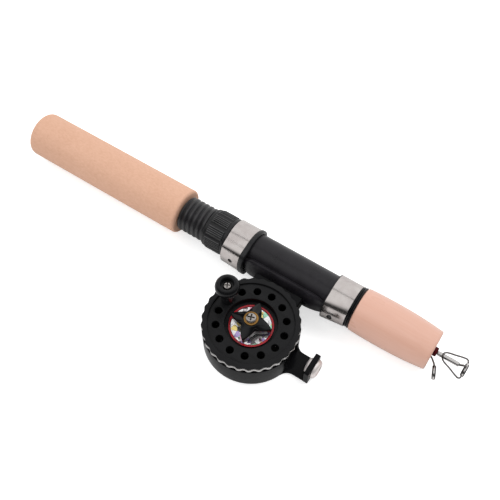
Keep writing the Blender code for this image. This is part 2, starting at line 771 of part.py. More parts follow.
def make_spindle():
    """The reel's fixed axle: a shaft with a foot flange and a screw hole in each end."""
    flange_radius = 0.0050
    flange_top = SPINDLE_BOTTOM + 0.0007
    hole_depth = 0.0060
    outer = [
        (SPINDLE_BOTTOM + hole_depth, 0.00001),
        (SPINDLE_BOTTOM + hole_depth, SCREW_HOLE),
        (SPINDLE_BOTTOM, SCREW_HOLE),
        (SPINDLE_BOTTOM, flange_radius),
        (flange_top, flange_radius),
        (flange_top, SPINDLE_RADIUS),
        (SPINDLE_TOP, SPINDLE_RADIUS),
        (SPINDLE_TOP, SCREW_HOLE),
        (SPINDLE_TOP - hole_depth, SCREW_HOLE),
        (SPINDLE_TOP - hole_depth, 0.00001),
    ]
    place(turned("spindle", outer, None, COARSE, "steel"), reel_axis)


def make_reel_screws():
    centre = phillips_screw("centre_screw", 0.00295, 0.0134, 0.0015, 0.0009, SPINDLE_TOP - 0.0055)
    place_screw(centre, reel_axis)
    back = phillips_screw("spindle_screw", 0.0031, 0.0127, 0.0011, 0.0009, 0.0064)
    place_screw(back, reel_axis)
    back[0].rotation_euler = (math.radians(180), 0.0, 0.0)
    for slot in back[1]:
        slot.rotation_euler = (math.radians(180), 0.0, 0.0)


def ring_on(name, inner_radius, outer_radius, bottom, top, steps, material, parent):
    outer = [(bottom, outer_radius), (top, outer_radius)]
    bore = [(bottom, inner_radius), (top, inner_radius)]
    return place(turned(name, outer, bore, steps, material), parent)


def wavy_circle(radius, points_per_wave=4):
    count = FLANGE_WAVES * points_per_wave
    points = []
    for i in range(count):
        angle = 2 * math.pi * i / count
        wavy = radius + FLANGE_WAVE * math.cos(FLANGE_WAVES * angle)
        points.append((wavy * math.cos(angle), wavy * math.sin(angle)))
    return points


def hole_position(number):
    angle = HOLE_START - number * 2 * math.pi / HOLE_COUNT
    return (HOLE_CIRCLE * math.cos(angle), HOLE_CIRCLE * math.sin(angle))


def make_spool():
    """The spool: scalloped front flange, line drum, rear flange and hub, all in one piece."""
    hub_bore = 0.0037
    plate_top = RIM_BOTTOM + 0.0003
    drum_outer = [
        (-0.0108, REAR_FLANGE_RADIUS),
        (-0.0094, REAR_FLANGE_RADIUS),
        (-0.0090, DRUM_RADIUS),
        (FLANGE_BOTTOM, DRUM_RADIUS),
        (FLANGE_BOTTOM, RIM_STEP_RADIUS),
        (plate_top, RIM_STEP_RADIUS),
    ]
    drum_hollow = [
        (-0.0108, DRUM_RADIUS - 0.0027),
        (0.0008, DRUM_RADIUS - 0.0027),
        (0.0008, 0.0058),
        (-0.0098, 0.0058),
        (-0.0098, hub_bore),
        (plate_top, hub_bore),
    ]
    spool = place(turned("spool", drum_outer, drum_hollow, FINE, "black plastic"), reel_axis)
    rim = outline("scalloped_rim", [wavy_circle(FLANGE_RADIUS)], RIM_BOTTOM, FLANGE_TOP, "black plastic")
    join(spool, place(rim, reel_axis))
    recess = turned(
        "face_recess",
        [
            (OPENING_FLOOR, OPENING_RADIUS),
            (FLANGE_FACE, OPENING_RADIUS),
            (FLANGE_FACE, RIM_INNER_RADIUS),
            (FLANGE_TOP + 0.001, RIM_INNER_RADIUS + 0.0003),
        ],
        None,
        FINE,
        "black plastic",
    )
    cut(spool, place(recess, reel_axis))
    for number in range(HOLE_COUNT):
        radius = 0.0019 if number == CRANK_HOLE else HOLE_RADIUS
        hole = cylinder(f"flange_hole_{number}", radius, 0.0, 0.012, 12, hole_position(number))
        cut(spool, place(hole, reel_axis))


def make_flange_trim_ring():
    """The bright ring that follows the scallops under the front flange's rim."""
    loops = [wavy_circle(FLANGE_RADIUS + 0.00005), circle(RIM_STEP_RADIUS + 0.0002, FINE)]
    trim = outline("flange_trim_ring", loops, FLANGE_BOTTOM + 0.0002, RIM_BOTTOM - 0.0002, "chrome")
    place(trim, reel_axis)


def make_centre_trim():
    floor = OPENING_FLOOR + 0.0003
    disc_inner, disc_outer, ring_inner, ring_outer = TRIM_RADII
    ring_on("red_ring", ring_inner, ring_outer, floor, floor + 0.0007, FINE, "red trim", reel_axis)
    ring_on("prismatic_disc", disc_inner, disc_outer, floor, floor + 0.0003, FINE, "prismatic foil", reel_axis)
    ring_on("spool_bushing", 0.0022, 0.0034, -0.0096, 0.0036, COARSE, "brass", reel_axis)


def make_star_knob():
    """The four-armed tension knob on the spindle's thread, and the washer that it presses."""
    ring_on("tension_washer", 0.0023, 0.0052, 0.0039, 0.0045, COARSE, "steel", reel_axis)
    ring_on("brass_washer", 0.0015, 0.0040, 0.01275, 0.01325, COARSE, "brass", reel_axis)
    columns = 40
    arms = 4

    def blade(share_of_tip):
        def radius_at(angle):
            from_tip = abs(((angle - STAR_FIRST_ARM) * arms / math.pi + 1) % 2 - 1)
            return STAR_WAIST_RADIUS + (share_of_tip * STAR_TIP_RADIUS - STAR_WAIST_RADIUS) * (1 - from_tip) ** 1.7

        return radius_at

    rows = [
        (0.0048, blade(0.96)),
        (0.0090, blade(1.0)),
        (0.0112, lambda angle: 0.25 * blade(1.0)(angle) + 0.0040),
        (0.0125, round_at(0.0048)),
        (0.0125, round_at(0.0024)),
        (0.0048, round_at(0.0024)),
    ]
    rings = []
    for z, radius_at in rows:
        angles = [STAR_FIRST_ARM + 2 * math.pi * i / columns for i in range(columns)]
        rings.append([(radius_at(a) * math.cos(a), radius_at(a) * math.sin(a), z) for a in angles])
    place(lofted("star_knob", rings, "black plastic", closed_round=True), reel_axis)


def make_crank():
    """The crank pin riveted through the spool's flange, its knob, and the knob's screw."""
    pin_radius = 0.0016
    pin_top = CRANK_TOP - 0.0035
    rivet_bottom = FLANGE_BOTTOM - 0.0007
    outer = [
        (rivet_bottom, 0.0028),
        (rivet_bottom + 0.0004, 0.0028),
        (rivet_bottom + 0.0004, pin_radius),
        (pin_top, pin_radius),
        (pin_top, SCREW_HOLE),
        (pin_top - 0.0070, SCREW_HOLE),
        (pin_top - 0.0070, 0.00001),
    ]
    place(turned("crank_pin", outer, None, SMALL, "steel"), crank_axis)
    cap = CRANK_TOP
    knob = [
        (FLANGE_FACE + 0.0003, 0.0040),
        (FLANGE_FACE + 0.0011, 0.0037),
        (cap - 0.0078, 0.0037),
        (cap - 0.0068, 0.0044),
        (cap - 0.0060, 0.0061),
        (cap - 0.0046, 0.0068),
        (cap - 0.0030, 0.0069),
        (cap - 0.0012, 0.0063),
        (cap, 0.0048),
        (cap - 0.0003, 0.0039),
        (cap - 0.0010, 0.0034),
    ]
    bore = [
        (FLANGE_FACE + 0.0003, 0.0019),
        (cap - 0.0033, 0.0019),
        (cap - 0.0033, 0.0034),
        (cap - 0.0012, 0.0034),
    ]
    place(turned("crank_knob", knob, bore, 28, "black plastic"), crank_axis)
    screw = phillips_screw("crank_screw", 0.00235, cap - 0.0031, 0.0014, 0.0009, cap - 0.0098)
    place_screw(screw, crank_axis)


# ---- Telescoping sections ----------------------------------------------------------------


def make_mid_section():
    outer = [(MID_REAR_X, 0.0032), (MID_FRONT_X, 0.00215)]
    bore = [(MID_REAR_X, MID_BORE), (MID_FRONT_X, MID_BORE)]
    place(turned("mid_blank", outer, bore, SMALL, "graphite"), rod_axis, axis="X")
    wrap_rear = -0.0165
    outer = [
        (wrap_rear, 0.0024),
        (wrap_rear + 0.0008, WRAP_RADIUS),
        (MID_FRONT_X - 0.0003, WRAP_RADIUS),
        (MID_FRONT_X - 0.0001, WRAP_RADIUS - 0.0002),
    ]
    bore = [(wrap_rear, 0.00232), (MID_FRONT_X - 0.0001, 0.00228)]
    place(turned("mid_wrap", outer, bore, SMALL, "maroon thread"), rod_axis, axis="X")


def ring_frame(centre, normal):
    """The matrix that stands a ring on its centre, with local Z along the ring's normal."""
    return Matrix.Translation(centre) @ Vector(normal).to_track_quat("Z", "Y").to_matrix().to_4x4()


def guide_ring(name, centre, normal):
    """A guide's metal hoop and the flanged ceramic insert in it, on rod_axis. It returns the hoop."""
    half = 0.5 * HOOP_WIDTH
    hoop_bore = RING_RADIUS - 0.00045
    hoop = turned(name + "_frame", [(-half, RING_RADIUS), (half, RING_RADIUS)],
                  [(-half, hoop_bore), (half, hoop_bore)], COARSE, "chrome")
    lip = 0.5 * INSERT_WIDTH
    waist = half + 0.00015
    waist_radius, lip_radius = RING_RADIUS - 0.0006, RING_RADIUS - 0.0003
    insert = turned(name + "_insert", [(-lip, lip_radius - 0.0002), (-waist, lip_radius), (-waist, waist_radius),
                                       (waist, waist_radius), (waist, lip_radius), (lip, lip_radius - 0.0002)],
                    [(-lip, RING_BORE + 0.0002), (0.0, RING_BORE), (lip, RING_BORE + 0.0002)], COARSE, "ceramic")
    for piece in (hoop, insert):
        piece.parent = rod_axis
        piece.matrix_basis = ring_frame(centre, normal)
    return hoop


def make_mid_guide():
    """The mid section's guide: two wire legs from the wrap to a ring on the reel's side."""
    outward = Vector((0.0, -math.cos(MID_RING_TURN), -math.sin(MID_RING_TURN)))
    sideways = Vector((1.0, 0.0, 0.0)).cross(outward)
    forward = Vector((1.0, 0.0, 0.0))
    centre = MID_RING_X * forward + MID_RING_REACH * outward
    normal = math.cos(MID_RING_LEAN) * forward - math.sin(MID_RING_LEAN) * outward
    up_ring = math.sin(MID_RING_LEAN) * forward + math.cos(MID_RING_LEAN) * outward
    hoop = guide_ring("mid_guide", centre, normal)
    rest = WRAP_RADIUS + WIRE_RADIUS + 0.0001
    for side in (-1, 1):
        angle = math.radians(32)
        foot = LEG_END_RADIUS * (math.sin(angle) * side * sideways - math.cos(angle) * up_ring)
        points = [
            -0.0150 * forward + rest * outward + side * 0.0005 * sideways,
            -0.0085 * forward + rest * outward + side * 0.0006 * sideways,
            -0.0070 * forward + (rest + 0.0002) * outward + side * 0.0008 * sideways,
            -0.0045 * forward + (rest + 0.0020) * outward + side * 0.0015 * sideways,
            centre + foot,
        ]
        leg = wire(f"mid_guide_leg_{side + 2}", points, WIRE_RADIUS, "chrome")
        place(leg, rod_axis)
        join(hoop, leg)


def make_tip_section():
    outer = [(TIP_REAR_X, 0.00145), (TIP_TUBE_REAR_X - 0.0006, 0.0010), (TIP_BLANK_FRONT_X, 0.00085)]
    place(turned("tip_blank", outer, None, SMALL, "graphite"), rod_axis, axis="X")
    outer = [(TIP_TUBE_REAR_X, TIP_TUBE_RADIUS), (TIP_TUBE_FRONT_X, TIP_TUBE_RADIUS)]
    bore = [(TIP_TUBE_REAR_X, 0.00108), (TIP_TUBE_FRONT_X, 0.00108)]
    place(turned("tip_tube", outer, bore, SMALL, "chrome"), rod_axis, axis="X")


def make_tip_guide():
    """The tip-top: one wire bent round the tube into two legs that hold the ring."""
    centre = Vector((TIP_RING_X, 0.0, -TIP_RING_DROP))
    hoop = guide_ring("tip_guide", centre, (1.0, 0.0, 0.0))
    over = TIP_TUBE_RADIUS + WIRE_RADIUS + 0.00012
    half = [
        (TIP_WIRE_REAR_X + 0.0004, 0.0008, over - 0.0001),
        (TIP_WIRE_REAR_X + 0.0008, 0.0017, 0.0011),
        (TIP_WIRE_REAR_X + 0.0017, 0.0026, 0.0006),
        (0.0040, 0.0042, -0.0003),
        (0.0092, 0.0060, -0.0015),
        (0.0103, 0.0062, -0.0018),
        (0.0113, 0.0056, -0.0022),
        (TIP_RING_X, LEG_END_RADIUS, -TIP_RING_DROP),
    ]
    points = [(x, -y, z) for x, y, z in reversed(half)]
    points += [(TIP_WIRE_REAR_X + 0.0003, 0.0, over)]
    points += half
    legs = wire("tip_guide_legs", points, WIRE_RADIUS, "chrome")
    join(hoop, place(legs, rod_axis))
    strut = wire(
        "tip_guide_strut",
        [(TIP_TUBE_FRONT_X + 0.0002, 0.0, 0.0), (TIP_TUBE_FRONT_X + 0.0011, 0.0, 0.0009),
         (TIP_RING_X - 0.0014, 0.0, 0.0020), (TIP_RING_X, 0.0, RING_RADIUS - TIP_RING_DROP + 0.00045)],
        0.0006,
        "chrome",
    )
    join(hoop, place(strut, rod_axis))


clear_scene()
parts = make_collection("fishing_rod_and_reel")
cutters = make_collection("cutters", hidden=True)
rod_axis = make_empty(
    "rod_axis", (-0.5 * (BUTT_X + BOX_FRONT_X), -0.5 * (BOX_NEAR_Y + GRIP_RADIUS), GRIP_RADIUS)
)
reel_axis = make_empty("reel_axis", (REEL_X, REEL_Y, 0.0), rod_axis)
crank_axis = make_empty("crank_axis", (*hole_position(CRANK_HOLE), 0.0), reel_axis)

make_rear_grip()
make_butt_cap()
make_handle_tube()
make_seat_tube()
make_winding_check()
make_front_grip()
make_rear_hood()
make_front_hood()
make_lock_nut()
make_reel_foot()
make_foot_screws()
make_reel_frame()
make_line_guide_eyelet()
make_spindle()
make_reel_screws()
make_spool()
make_flange_trim_ring()
make_centre_trim()
make_star_knob()
make_crank()
make_mid_section()
make_mid_guide()
make_tip_section()
make_tip_guide()
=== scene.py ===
"""Looks for the collapsed telescopic fishing rod and its small centre-pin reel."""

from math import atan2, cos, hypot, pi, radians, sin, sqrt

import bmesh
import bpy
from mathutils import Matrix, Vector


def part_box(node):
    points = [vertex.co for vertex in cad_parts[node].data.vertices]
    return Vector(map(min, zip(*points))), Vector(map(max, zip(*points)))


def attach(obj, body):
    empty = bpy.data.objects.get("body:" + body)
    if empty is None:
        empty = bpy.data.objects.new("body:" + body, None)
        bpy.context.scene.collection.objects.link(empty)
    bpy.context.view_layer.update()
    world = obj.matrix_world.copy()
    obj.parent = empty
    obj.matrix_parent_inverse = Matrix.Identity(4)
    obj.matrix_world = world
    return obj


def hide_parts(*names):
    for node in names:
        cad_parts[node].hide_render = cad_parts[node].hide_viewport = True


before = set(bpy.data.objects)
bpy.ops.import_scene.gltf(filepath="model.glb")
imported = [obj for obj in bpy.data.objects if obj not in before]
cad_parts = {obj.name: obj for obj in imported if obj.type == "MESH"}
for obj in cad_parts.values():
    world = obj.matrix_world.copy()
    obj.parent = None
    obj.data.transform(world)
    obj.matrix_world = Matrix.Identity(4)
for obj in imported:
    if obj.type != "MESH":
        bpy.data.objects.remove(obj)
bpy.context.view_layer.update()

# ---- Where the axes lie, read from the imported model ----


def middle_of(node):
    low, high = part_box(node)
    return 0.5 * (low + high)


GRIP_RADIUS = 0.0140
BUTT_X = -0.2827
grip_middle = middle_of("rear_grip")
ROD_ORIGIN = Vector((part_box("rear_grip")[0].x - BUTT_X, grip_middle.y, grip_middle.z))
REEL_CENTRE = Vector((middle_of("spindle").x, middle_of("spindle").y, ROD_ORIGIN.z))
CRANK_CENTRE = Vector((middle_of("crank_knob").x, middle_of("crank_knob").y, ROD_ORIGIN.z))

ROD = Matrix.Translation(ROD_ORIGIN)
REEL = Matrix.Translation(REEL_CENTRE)
CRANK = Matrix.Translation(CRANK_CENTRE)
# Local Z runs along the rod, and an angle counts from the reel's side (-Y) towards +Z.
ALONG_ROD = ROD @ Matrix(((0, 0, 1, 0), (-1, 0, 0, 0), (0, 1, 0, 0), (0, 0, 0, 1)))
# Local X, Y and Z run along Y, Z and X, for what stands across the rod.
ACROSS = Matrix(((0, 0, 1, 0), (1, 0, 0, 0), (0, 1, 0, 0), (0, 0, 0, 1)))

# ---- Materials ----

EVEN = (1.0, 1.0, 1.0)


def principled(material):
    return material.node_tree.nodes["Principled BSDF"]


def new_material(name, colour, roughness, metallic=0.0, coat=0.0, specular=0.5):
    material = bpy.data.materials.new(name)
    material.use_nodes = True
    values = {
        "Base Color": (*colour, 1.0),
        "Roughness": roughness,
        "Metallic": metallic,
        "Coat Weight": coat,
        "Coat Roughness": 0.12,
        "Specular IOR Level": specular,
    }
    set_inputs(principled(material), values)
    return material


def set_inputs(node, values):
    for name, value in values.items():
        node.inputs[name].default_value = value


def add_node(tree, kind, values=(), **settings):
    node = tree.nodes.new("ShaderNode" + kind)
    for name, value in settings.items():
        setattr(node, name, value)
    set_inputs(node, dict(values))
    return node


def map_range(tree, value, start, end, low, high, **settings):
    """Takes a value from between start and end to between low and high."""
    values = {"From Min": start, "From Max": end, "To Min": low, "To Max": high}
    node = add_node(tree, "MapRange", values, **settings)
    tree.links.new(value, node.inputs["Value"])
    return node.outputs["Result"]


def noise_over(material, scale, detail=4.0, stretch=EVEN, roughness=0.55):
    """A noise value over the piece: scale is per metre, and stretch squeezes it along an axis."""
    tree = material.node_tree
    place = add_node(tree, "TexCoord")
    mapping = add_node(tree, "Mapping", {"Scale": stretch})
    noise = add_node(tree, "TexNoise", {"Scale": scale, "Detail": detail, "Roughness": roughness})
    tree.links.new(place.outputs["Object"], mapping.inputs["Vector"])
    tree.links.new(mapping.outputs["Vector"], noise.inputs["Vector"])
    return noise.outputs["Fac"]


def colour_between(material, value, low, high, start=0.3, end=0.7):
    tree = material.node_tree
    ramp = add_node(tree, "ValToRGB")
    ramp.color_ramp.elements[0].position = start
    ramp.color_ramp.elements[0].color = (*low, 1.0)
    ramp.color_ramp.elements[1].position = end
    ramp.color_ramp.elements[1].color = (*high, 1.0)
    tree.links.new(value, ramp.inputs["Fac"])
    tree.links.new(ramp.outputs["Color"], principled(material).inputs["Base Color"])
    return ramp


def roughness_between(material, value, low, high):
    tree = material.node_tree
    tree.links.new(map_range(tree, value, 0.3, 0.7, low, high), principled(material).inputs["Roughness"])


def bump_from(material, value, height, strength=1.0):
    """height is in metres."""
    tree = material.node_tree
    bump = add_node(tree, "Bump", {"Strength": strength, "Distance": height})
    tree.links.new(value, bump.inputs["Height"])
    tree.links.new(bump.outputs["Normal"], principled(material).inputs["Normal"])


def make_foam():
    material = new_material("peach_grip", (0.63, 0.38, 0.27), 0.62, specular=0.3)
    fine = noise_over(material, 900, 6.0, (0.55, 1.0, 1.0), 0.7)
    broad = noise_over(material, 60, 3.0)
    ramp = colour_between(material, fine, (0.595, 0.345, 0.235), (0.70, 0.435, 0.315), 0.25, 0.75)
    tree = material.node_tree
    mix = add_node(tree, "Mix", data_type="RGBA", blend_type="MULTIPLY")
    mix.inputs["B"].default_value = (0.93, 0.90, 0.88, 1.0)
    tree.links.new(broad, mix.inputs["Factor"])
    tree.links.new(ramp.outputs["Color"], mix.inputs["A"])
    tree.links.new(mix.outputs["Result"], principled(material).inputs["Base Color"])
    roughness_between(material, broad, 0.56, 0.70)
    bump_from(material, fine, 0.00009, 0.7)
    return material


def make_lacquered():
    material = new_material("lacquered_grip", (0.62, 0.36, 0.28), 0.30, coat=0.45, specular=0.4)
    set_inputs(principled(material), {"Coat Roughness": 0.04})
    grain = noise_over(material, 1100, 5.0, (0.035, 1.0, 1.0), 0.6)
    broad = noise_over(material, 90, 3.0, (0.3, 1.0, 1.0))
    colour_between(material, grain, (0.617, 0.352, 0.268), (0.640, 0.380, 0.294), 0.3, 0.72)
    roughness_between(material, broad, 0.26, 0.38)
    bump_from(material, grain, 0.000012, 0.5)
    return material


def make_black(name, colour, rough, grain=0.00002, scale=2600, specular=0.5):
    """A smooth moulded plastic with a fine grain, mostly black: grain is the bump's height in metres."""
    material = new_material(name, colour, rough[0], specular=specular)
    fine = noise_over(material, scale, 3.0)
    broad = noise_over(material, 140, 3.0)
    lighter = tuple(1.6 * channel for channel in colour)
    colour_between(material, broad, colour, lighter)
    roughness_between(material, broad, *rough)
    bump_from(material, fine, grain, 0.5)
    return material


def make_brushed(name, low, high, rough, stretch=EVEN, scale=900, metallic=1.0):
    """A metal whose colour varies from low to high, with fine lines where stretch is uneven."""
    material = new_material(name, high, rough[0], metallic)
    lines = noise_over(material, scale, 4.0, stretch, 0.6)
    broad = noise_over(material, 120, 2.0)
    colour_between(material, broad, low, high)
    roughness_between(material, lines, *rough)
    bump_from(material, lines, 0.000002, 0.3)
    return material


def make_foil():
    """Prismatic foil: flat facets, each with its own tint and tilt, that catch the light one by one."""
    material = new_material("prismatic_foil", (0.85, 0.86, 0.88), 0.16, 0.9)
    tree = material.node_tree
    place = add_node(tree, "TexCoord")
    cells = add_node(tree, "TexVoronoi", {"Scale": 400})
    tree.links.new(place.outputs["Object"], cells.inputs["Vector"])
    split = add_node(tree, "SeparateColor")
    tree.links.new(cells.outputs["Color"], split.inputs["Color"])
    ramp = add_node(tree, "ValToRGB")
    ramp.color_ramp.interpolation = "CONSTANT"
    tints = [
        (0.00, (0.90, 0.90, 0.91)),
        (0.24, (0.74, 0.38, 0.50)),
        (0.34, (0.95, 0.95, 0.94)),
        (0.50, (0.38, 0.72, 0.54)),
        (0.60, (0.90, 0.72, 0.26)),
        (0.70, (0.46, 0.36, 0.66)),
        (0.78, (0.96, 0.92, 0.93)),
    ]
    for number, (position, tint) in enumerate(tints):
        elements = ramp.color_ramp.elements
        element = elements[number] if number < 2 else elements.new(position)
        element.position = position
        element.color = (*tint, 1.0)
    tree.links.new(split.outputs["Red"], ramp.inputs["Fac"])
    tree.links.new(ramp.outputs["Color"], principled(material).inputs["Base Color"])
    # A facet's height rises from its middle along a direction of its own.
    across = add_node(tree, "VectorMath", operation="SUBTRACT")
    lean = add_node(tree, "VectorMath", operation="SUBTRACT")
    lean.inputs[1].default_value = (0.5, 0.5, 0.5)
    slope = add_node(tree, "VectorMath", operation="DOT_PRODUCT")
    tree.links.new(place.outputs["Object"], across.inputs[0])
    tree.links.new(cells.outputs["Position"], across.inputs[1])
    tree.links.new(cells.outputs["Color"], lean.inputs[0])
    tree.links.new(across.outputs["Vector"], slope.inputs[0])
    tree.links.new(lean.outputs["Vector"], slope.inputs[1])
    bump_from(material, slope.outputs["Value"], 0.45)
    return material


def make_thread_wrap():
    material = new_material("maroon_wrap", (0.09, 0.005, 0.008), 0.38, specular=0.12)
    turns = noise_over(material, 900, 2.0, (8.0, 0.4, 0.4))
    colour_between(material, turns, (0.035, 0.002, 0.003), (0.10, 0.005, 0.008))
    bump_from(material, turns, 0.00005, 0.6)
    return material


foam = make_foam()
lacquered = make_lacquered()
black = make_black("black_plastic", (0.007, 0.007, 0.008), (0.24, 0.36), specular=0.35)
nut_black = make_black("nut_black", (0.006, 0.006, 0.0065), (0.26, 0.36), specular=0.36)
# A lighter black for the lock nut's ridge crests: a painted highlight along each crest.
nut_crest_highlight = make_black("nut_crest_highlight", (0.045, 0.045, 0.046), (0.30, 0.40))
reel_black = make_black("reel_black", (0.0045, 0.0045, 0.005), (0.30, 0.42), 0.00002, 3200, 0.19)
frame_black = make_black("frame_black", (0.003, 0.003, 0.0035), (0.14, 0.24), 0.00001, 2400, 0.09)
gloss_black = make_black("gloss_black", (0.004, 0.004, 0.0045), (0.09, 0.17), 0.000006, 1500, 0.22)
thread_black = make_black("thread_black", (0.012, 0.0115, 0.0125), (0.28, 0.38), 0.000012, 1800, 0.55)
seat_black = make_black("seat_black", (0.008, 0.0072, 0.009), (0.26, 0.36), 0.000012, 1800, 0.32)
graphite = make_black("blank", (0.02, 0.02, 0.022), (0.25, 0.36), 0.00001, 2500)
red = make_black("red_trim", (0.27, 0.004, 0.011), (0.20, 0.32), 0.00001, 1500)
ceramic = make_black("dark_ceramic", (0.008, 0.008, 0.009), (0.08, 0.14), 0.000004, 1500)
nickel = make_brushed(
    "satin_nickel", (0.56, 0.51, 0.495), (0.66, 0.62, 0.60), (0.16, 0.25), stretch=(7.0, 0.12, 0.12)
)
eyelet_metal = make_brushed(
    "eyelet_metal", (0.84, 0.775, 0.755), (0.88, 0.815, 0.795), (0.36, 0.46), metallic=0.65
)
chrome = make_brushed("bright_chrome", (0.55, 0.53, 0.52), (0.66, 0.64, 0.63), (0.08, 0.15), scale=2500)
wire_metal = make_brushed("wire_steel", (0.13, 0.12, 0.115), (0.24, 0.225, 0.22), (0.12, 0.22), scale=2500)
screw_metal = make_brushed(
    "screw_nickel", (0.36, 0.335, 0.32), (0.48, 0.45, 0.43), (0.10, 0.18), scale=2500
)
# A dark metal for the screws' cross recesses: painted shade.
recess_painted_shade = make_brushed(
    "screw_recess_painted_shade", (0.05, 0.045, 0.042), (0.10, 0.09, 0.085), (0.3, 0.4), scale=2500
)
TURNED = (1.0, 1.0, 3.0)
steel = make_brushed("plain_steel", (0.48, 0.48, 0.49), (0.62, 0.62, 0.63), (0.22, 0.36), TURNED)
brass = make_brushed("turned_brass", (0.22, 0.115, 0.035), (0.36, 0.20, 0.06), (0.22, 0.36), TURNED)
foil = make_foil()
maroon = make_thread_wrap()

# ---- Shapes ----

SHARP_ANGLE = 40


def rounded(points, closed, size, steps=3):
    """Rounds each corner of a profile. A point may carry its own size as a third number."""
    smooth = []
    count = len(points)
    for i, point in enumerate(points):
        here = Vector(point[:2])
        if not closed and i in (0, count - 1):
            smooth.append((here.x, here.y))
            continue
        before = Vector(points[i - 1][:2]) - here
        after = Vector(points[(i + 1) % count][:2]) - here
        own = point[2] if len(point) > 2 else size
        start = here + before.normalized() * min(own, 0.48 * before.length)
        end = here + after.normalized() * min(own, 0.48 * after.length)
        for k in range(steps + 1):
            t = k / steps
            at = (1 - t) ** 2 * start + 2 * t * (1 - t) * here + t * t * end
            smooth.append((at.x, at.y))
    return smooth


def add_object(name, data):
    made = bpy.data.objects.new(name, data)
    bpy.context.scene.collection.objects.link(made)
    return made


def evaluated_mesh(source):
    bpy.context.view_layer.update()
    return bpy.data.meshes.new_from_object(source.evaluated_get(bpy.context.evaluated_depsgraph_get()))


def smooth_up_to(mesh, degrees):
    mesh.shade_smooth()
    mesh.set_sharp_from_angle(angle=radians(degrees))


def finish_piece(name, mesh):
    shape = bmesh.new()
    shape.from_mesh(mesh)
    bmesh.ops.remove_doubles(shape, verts=shape.verts, dist=0.000002)
    bmesh.ops.recalc_face_normals(shape, faces=shape.faces)
    shape.to_mesh(mesh)
    shape.free()
    smooth_up_to(mesh, SHARP_ANGLE)
    return add_object(name, mesh)


def skin(name, columns, wrap_profile, move):
    """A surface through equal columns of points that go round an axis."""
    count = len(columns[0])
    vertices = [move @ Vector(point) for column in columns for point in column]
    faces = []
    for c in range(len(columns)):
        d = (c + 1) % len(columns)
        for i in range(count if wrap_profile else count - 1):
            j = (i + 1) % count
            faces.append((c * count + i, d * count + i, d * count + j, c * count + j))
    mesh = bpy.data.meshes.new(name)
    mesh.from_pydata(vertices, [], faces)
    return finish_piece(name, mesh)


def shell(name, profile_at, sides, move, size=0.0002, steps=3):
    """A ring-like piece: profile_at(angle) is its closed (along, radius) profile."""
    columns = []
    for c in range(sides):
        angle = 2 * pi * c / sides
        profile = rounded(profile_at(angle), True, size, steps)
        columns.append([(r * cos(angle), r * sin(angle), z) for z, r in profile])
    return skin(name, columns, True, move)


def turned(name, outer, bore, sides, move, size=0.0002, steps=3):
    """A turned piece: outer and bore are (along, radius) points, each from low to high along."""
    if bore:
        return shell(name, lambda angle: outer + bore[::-1], sides, move, size, steps)
    profile = rounded([(outer[0][0], 0.0)] + outer + [(outer[-1][0], 0.0)], False, size, steps)
    columns = []
    for c in range(sides):
        angle = 2 * pi * c / sides
        columns.append([(r * cos(angle), r * sin(angle), z) for z, r in profile])
    return skin(name, columns, False, move)


def ring(name, low, high, hole, radius, sides, move, size=0.0002):
    return turned(name, [(low, radius), (high, radius)], [(low, hole), (high, hole)], sides, move, size)


def mesh_of_curve(name, curve, move):
    source = add_object(name + "_curve", curve)
    mesh = evaluated_mesh(source)
    bpy.data.objects.remove(source, do_unlink=True)
    bpy.data.curves.remove(curve)
    mesh.transform(move)
    mesh.materials.clear()
    mesh.name = name
    return finish_piece(name, mesh)


def plate(name, outer, holes, bottom, top, edge, move):
    """A flat outline with holes and rounded edges. Loops run anticlockwise."""
    curve = bpy.data.curves.new(name, "CURVE")
    curve.dimensions = "2D"
    curve.fill_mode = "BOTH"
    curve.extrude = 0.5 * (top - bottom) - edge
    curve.bevel_depth = edge
    curve.bevel_resolution = 2
    curve.offset = -edge
    for points in [outer] + [hole[::-1] for hole in holes]:
        spline = curve.splines.new("POLY")
        spline.points.add(len(points) - 1)
        for point, (x, y) in zip(spline.points, points):
            point.co = (x, y, 0.0, 1.0)
        spline.use_cyclic_u = True
    return mesh_of_curve(name, curve, move @ Matrix.Translation((0.0, 0.0, 0.5 * (top + bottom))))


def wire(name, points, radius, move):
    """A round wire along a smooth curve through the points."""
    curve = bpy.data.curves.new(name, "CURVE")
    curve.dimensions = "3D"
    curve.bevel_depth = radius
    curve.bevel_resolution = 5
    curve.resolution_u = 8
    curve.use_fill_caps = True
    spline = curve.splines.new("BEZIER")
    spline.bezier_points.add(len(points) - 1)
    for point, position in zip(spline.bezier_points, points):
        point.co = position
        point.handle_left_type = "AUTO"
        point.handle_right_type = "AUTO"
    return mesh_of_curve(name, curve, move)


def block(name, low, high, edge, move, segments=3):
    mesh = bpy.data.meshes.new(name)
    shape = bmesh.new()
    bmesh.ops.create_cube(shape, size=1.0)
    bmesh.ops.scale(shape, vec=[b - a for a, b in zip(low, high)], verts=shape.verts)
    bmesh.ops.translate(shape, vec=[0.5 * (a + b) for a, b in zip(low, high)], verts=shape.verts)
    if edge:
        edges = shape.edges[:]
        bmesh.ops.bevel(shape, geom=edges, offset=edge, segments=segments, affect="EDGES", profile=0.5)
    bmesh.ops.transform(shape, matrix=move, verts=shape.verts)
    shape.to_mesh(mesh)
    shape.free()
    return finish_piece(name, mesh)


def circle(radius, count, centre=(0.0, 0.0)):
    angles = [2 * pi * i / count for i in range(count)]
    return [(centre[0] + radius * cos(a), centre[1] + radius * sin(a)) for a in angles]


def cut(piece, cutter, sharp_angle=SHARP_ANGLE):
    """Cuts one mesh from another and leaves the result as the piece's own mesh."""
    modifier = piece.modifiers.new("cut", "BOOLEAN")
    modifier.object = cutter
    modifier.operation = "DIFFERENCE"
    modifier.solver = "EXACT"
    mesh = evaluated_mesh(piece)
    piece.modifiers.clear()
    old = piece.data
    piece.data = mesh
    bpy.data.meshes.remove(old)
    bpy.data.objects.remove(cutter, do_unlink=True)
    smooth_up_to(mesh, sharp_angle)
    return piece


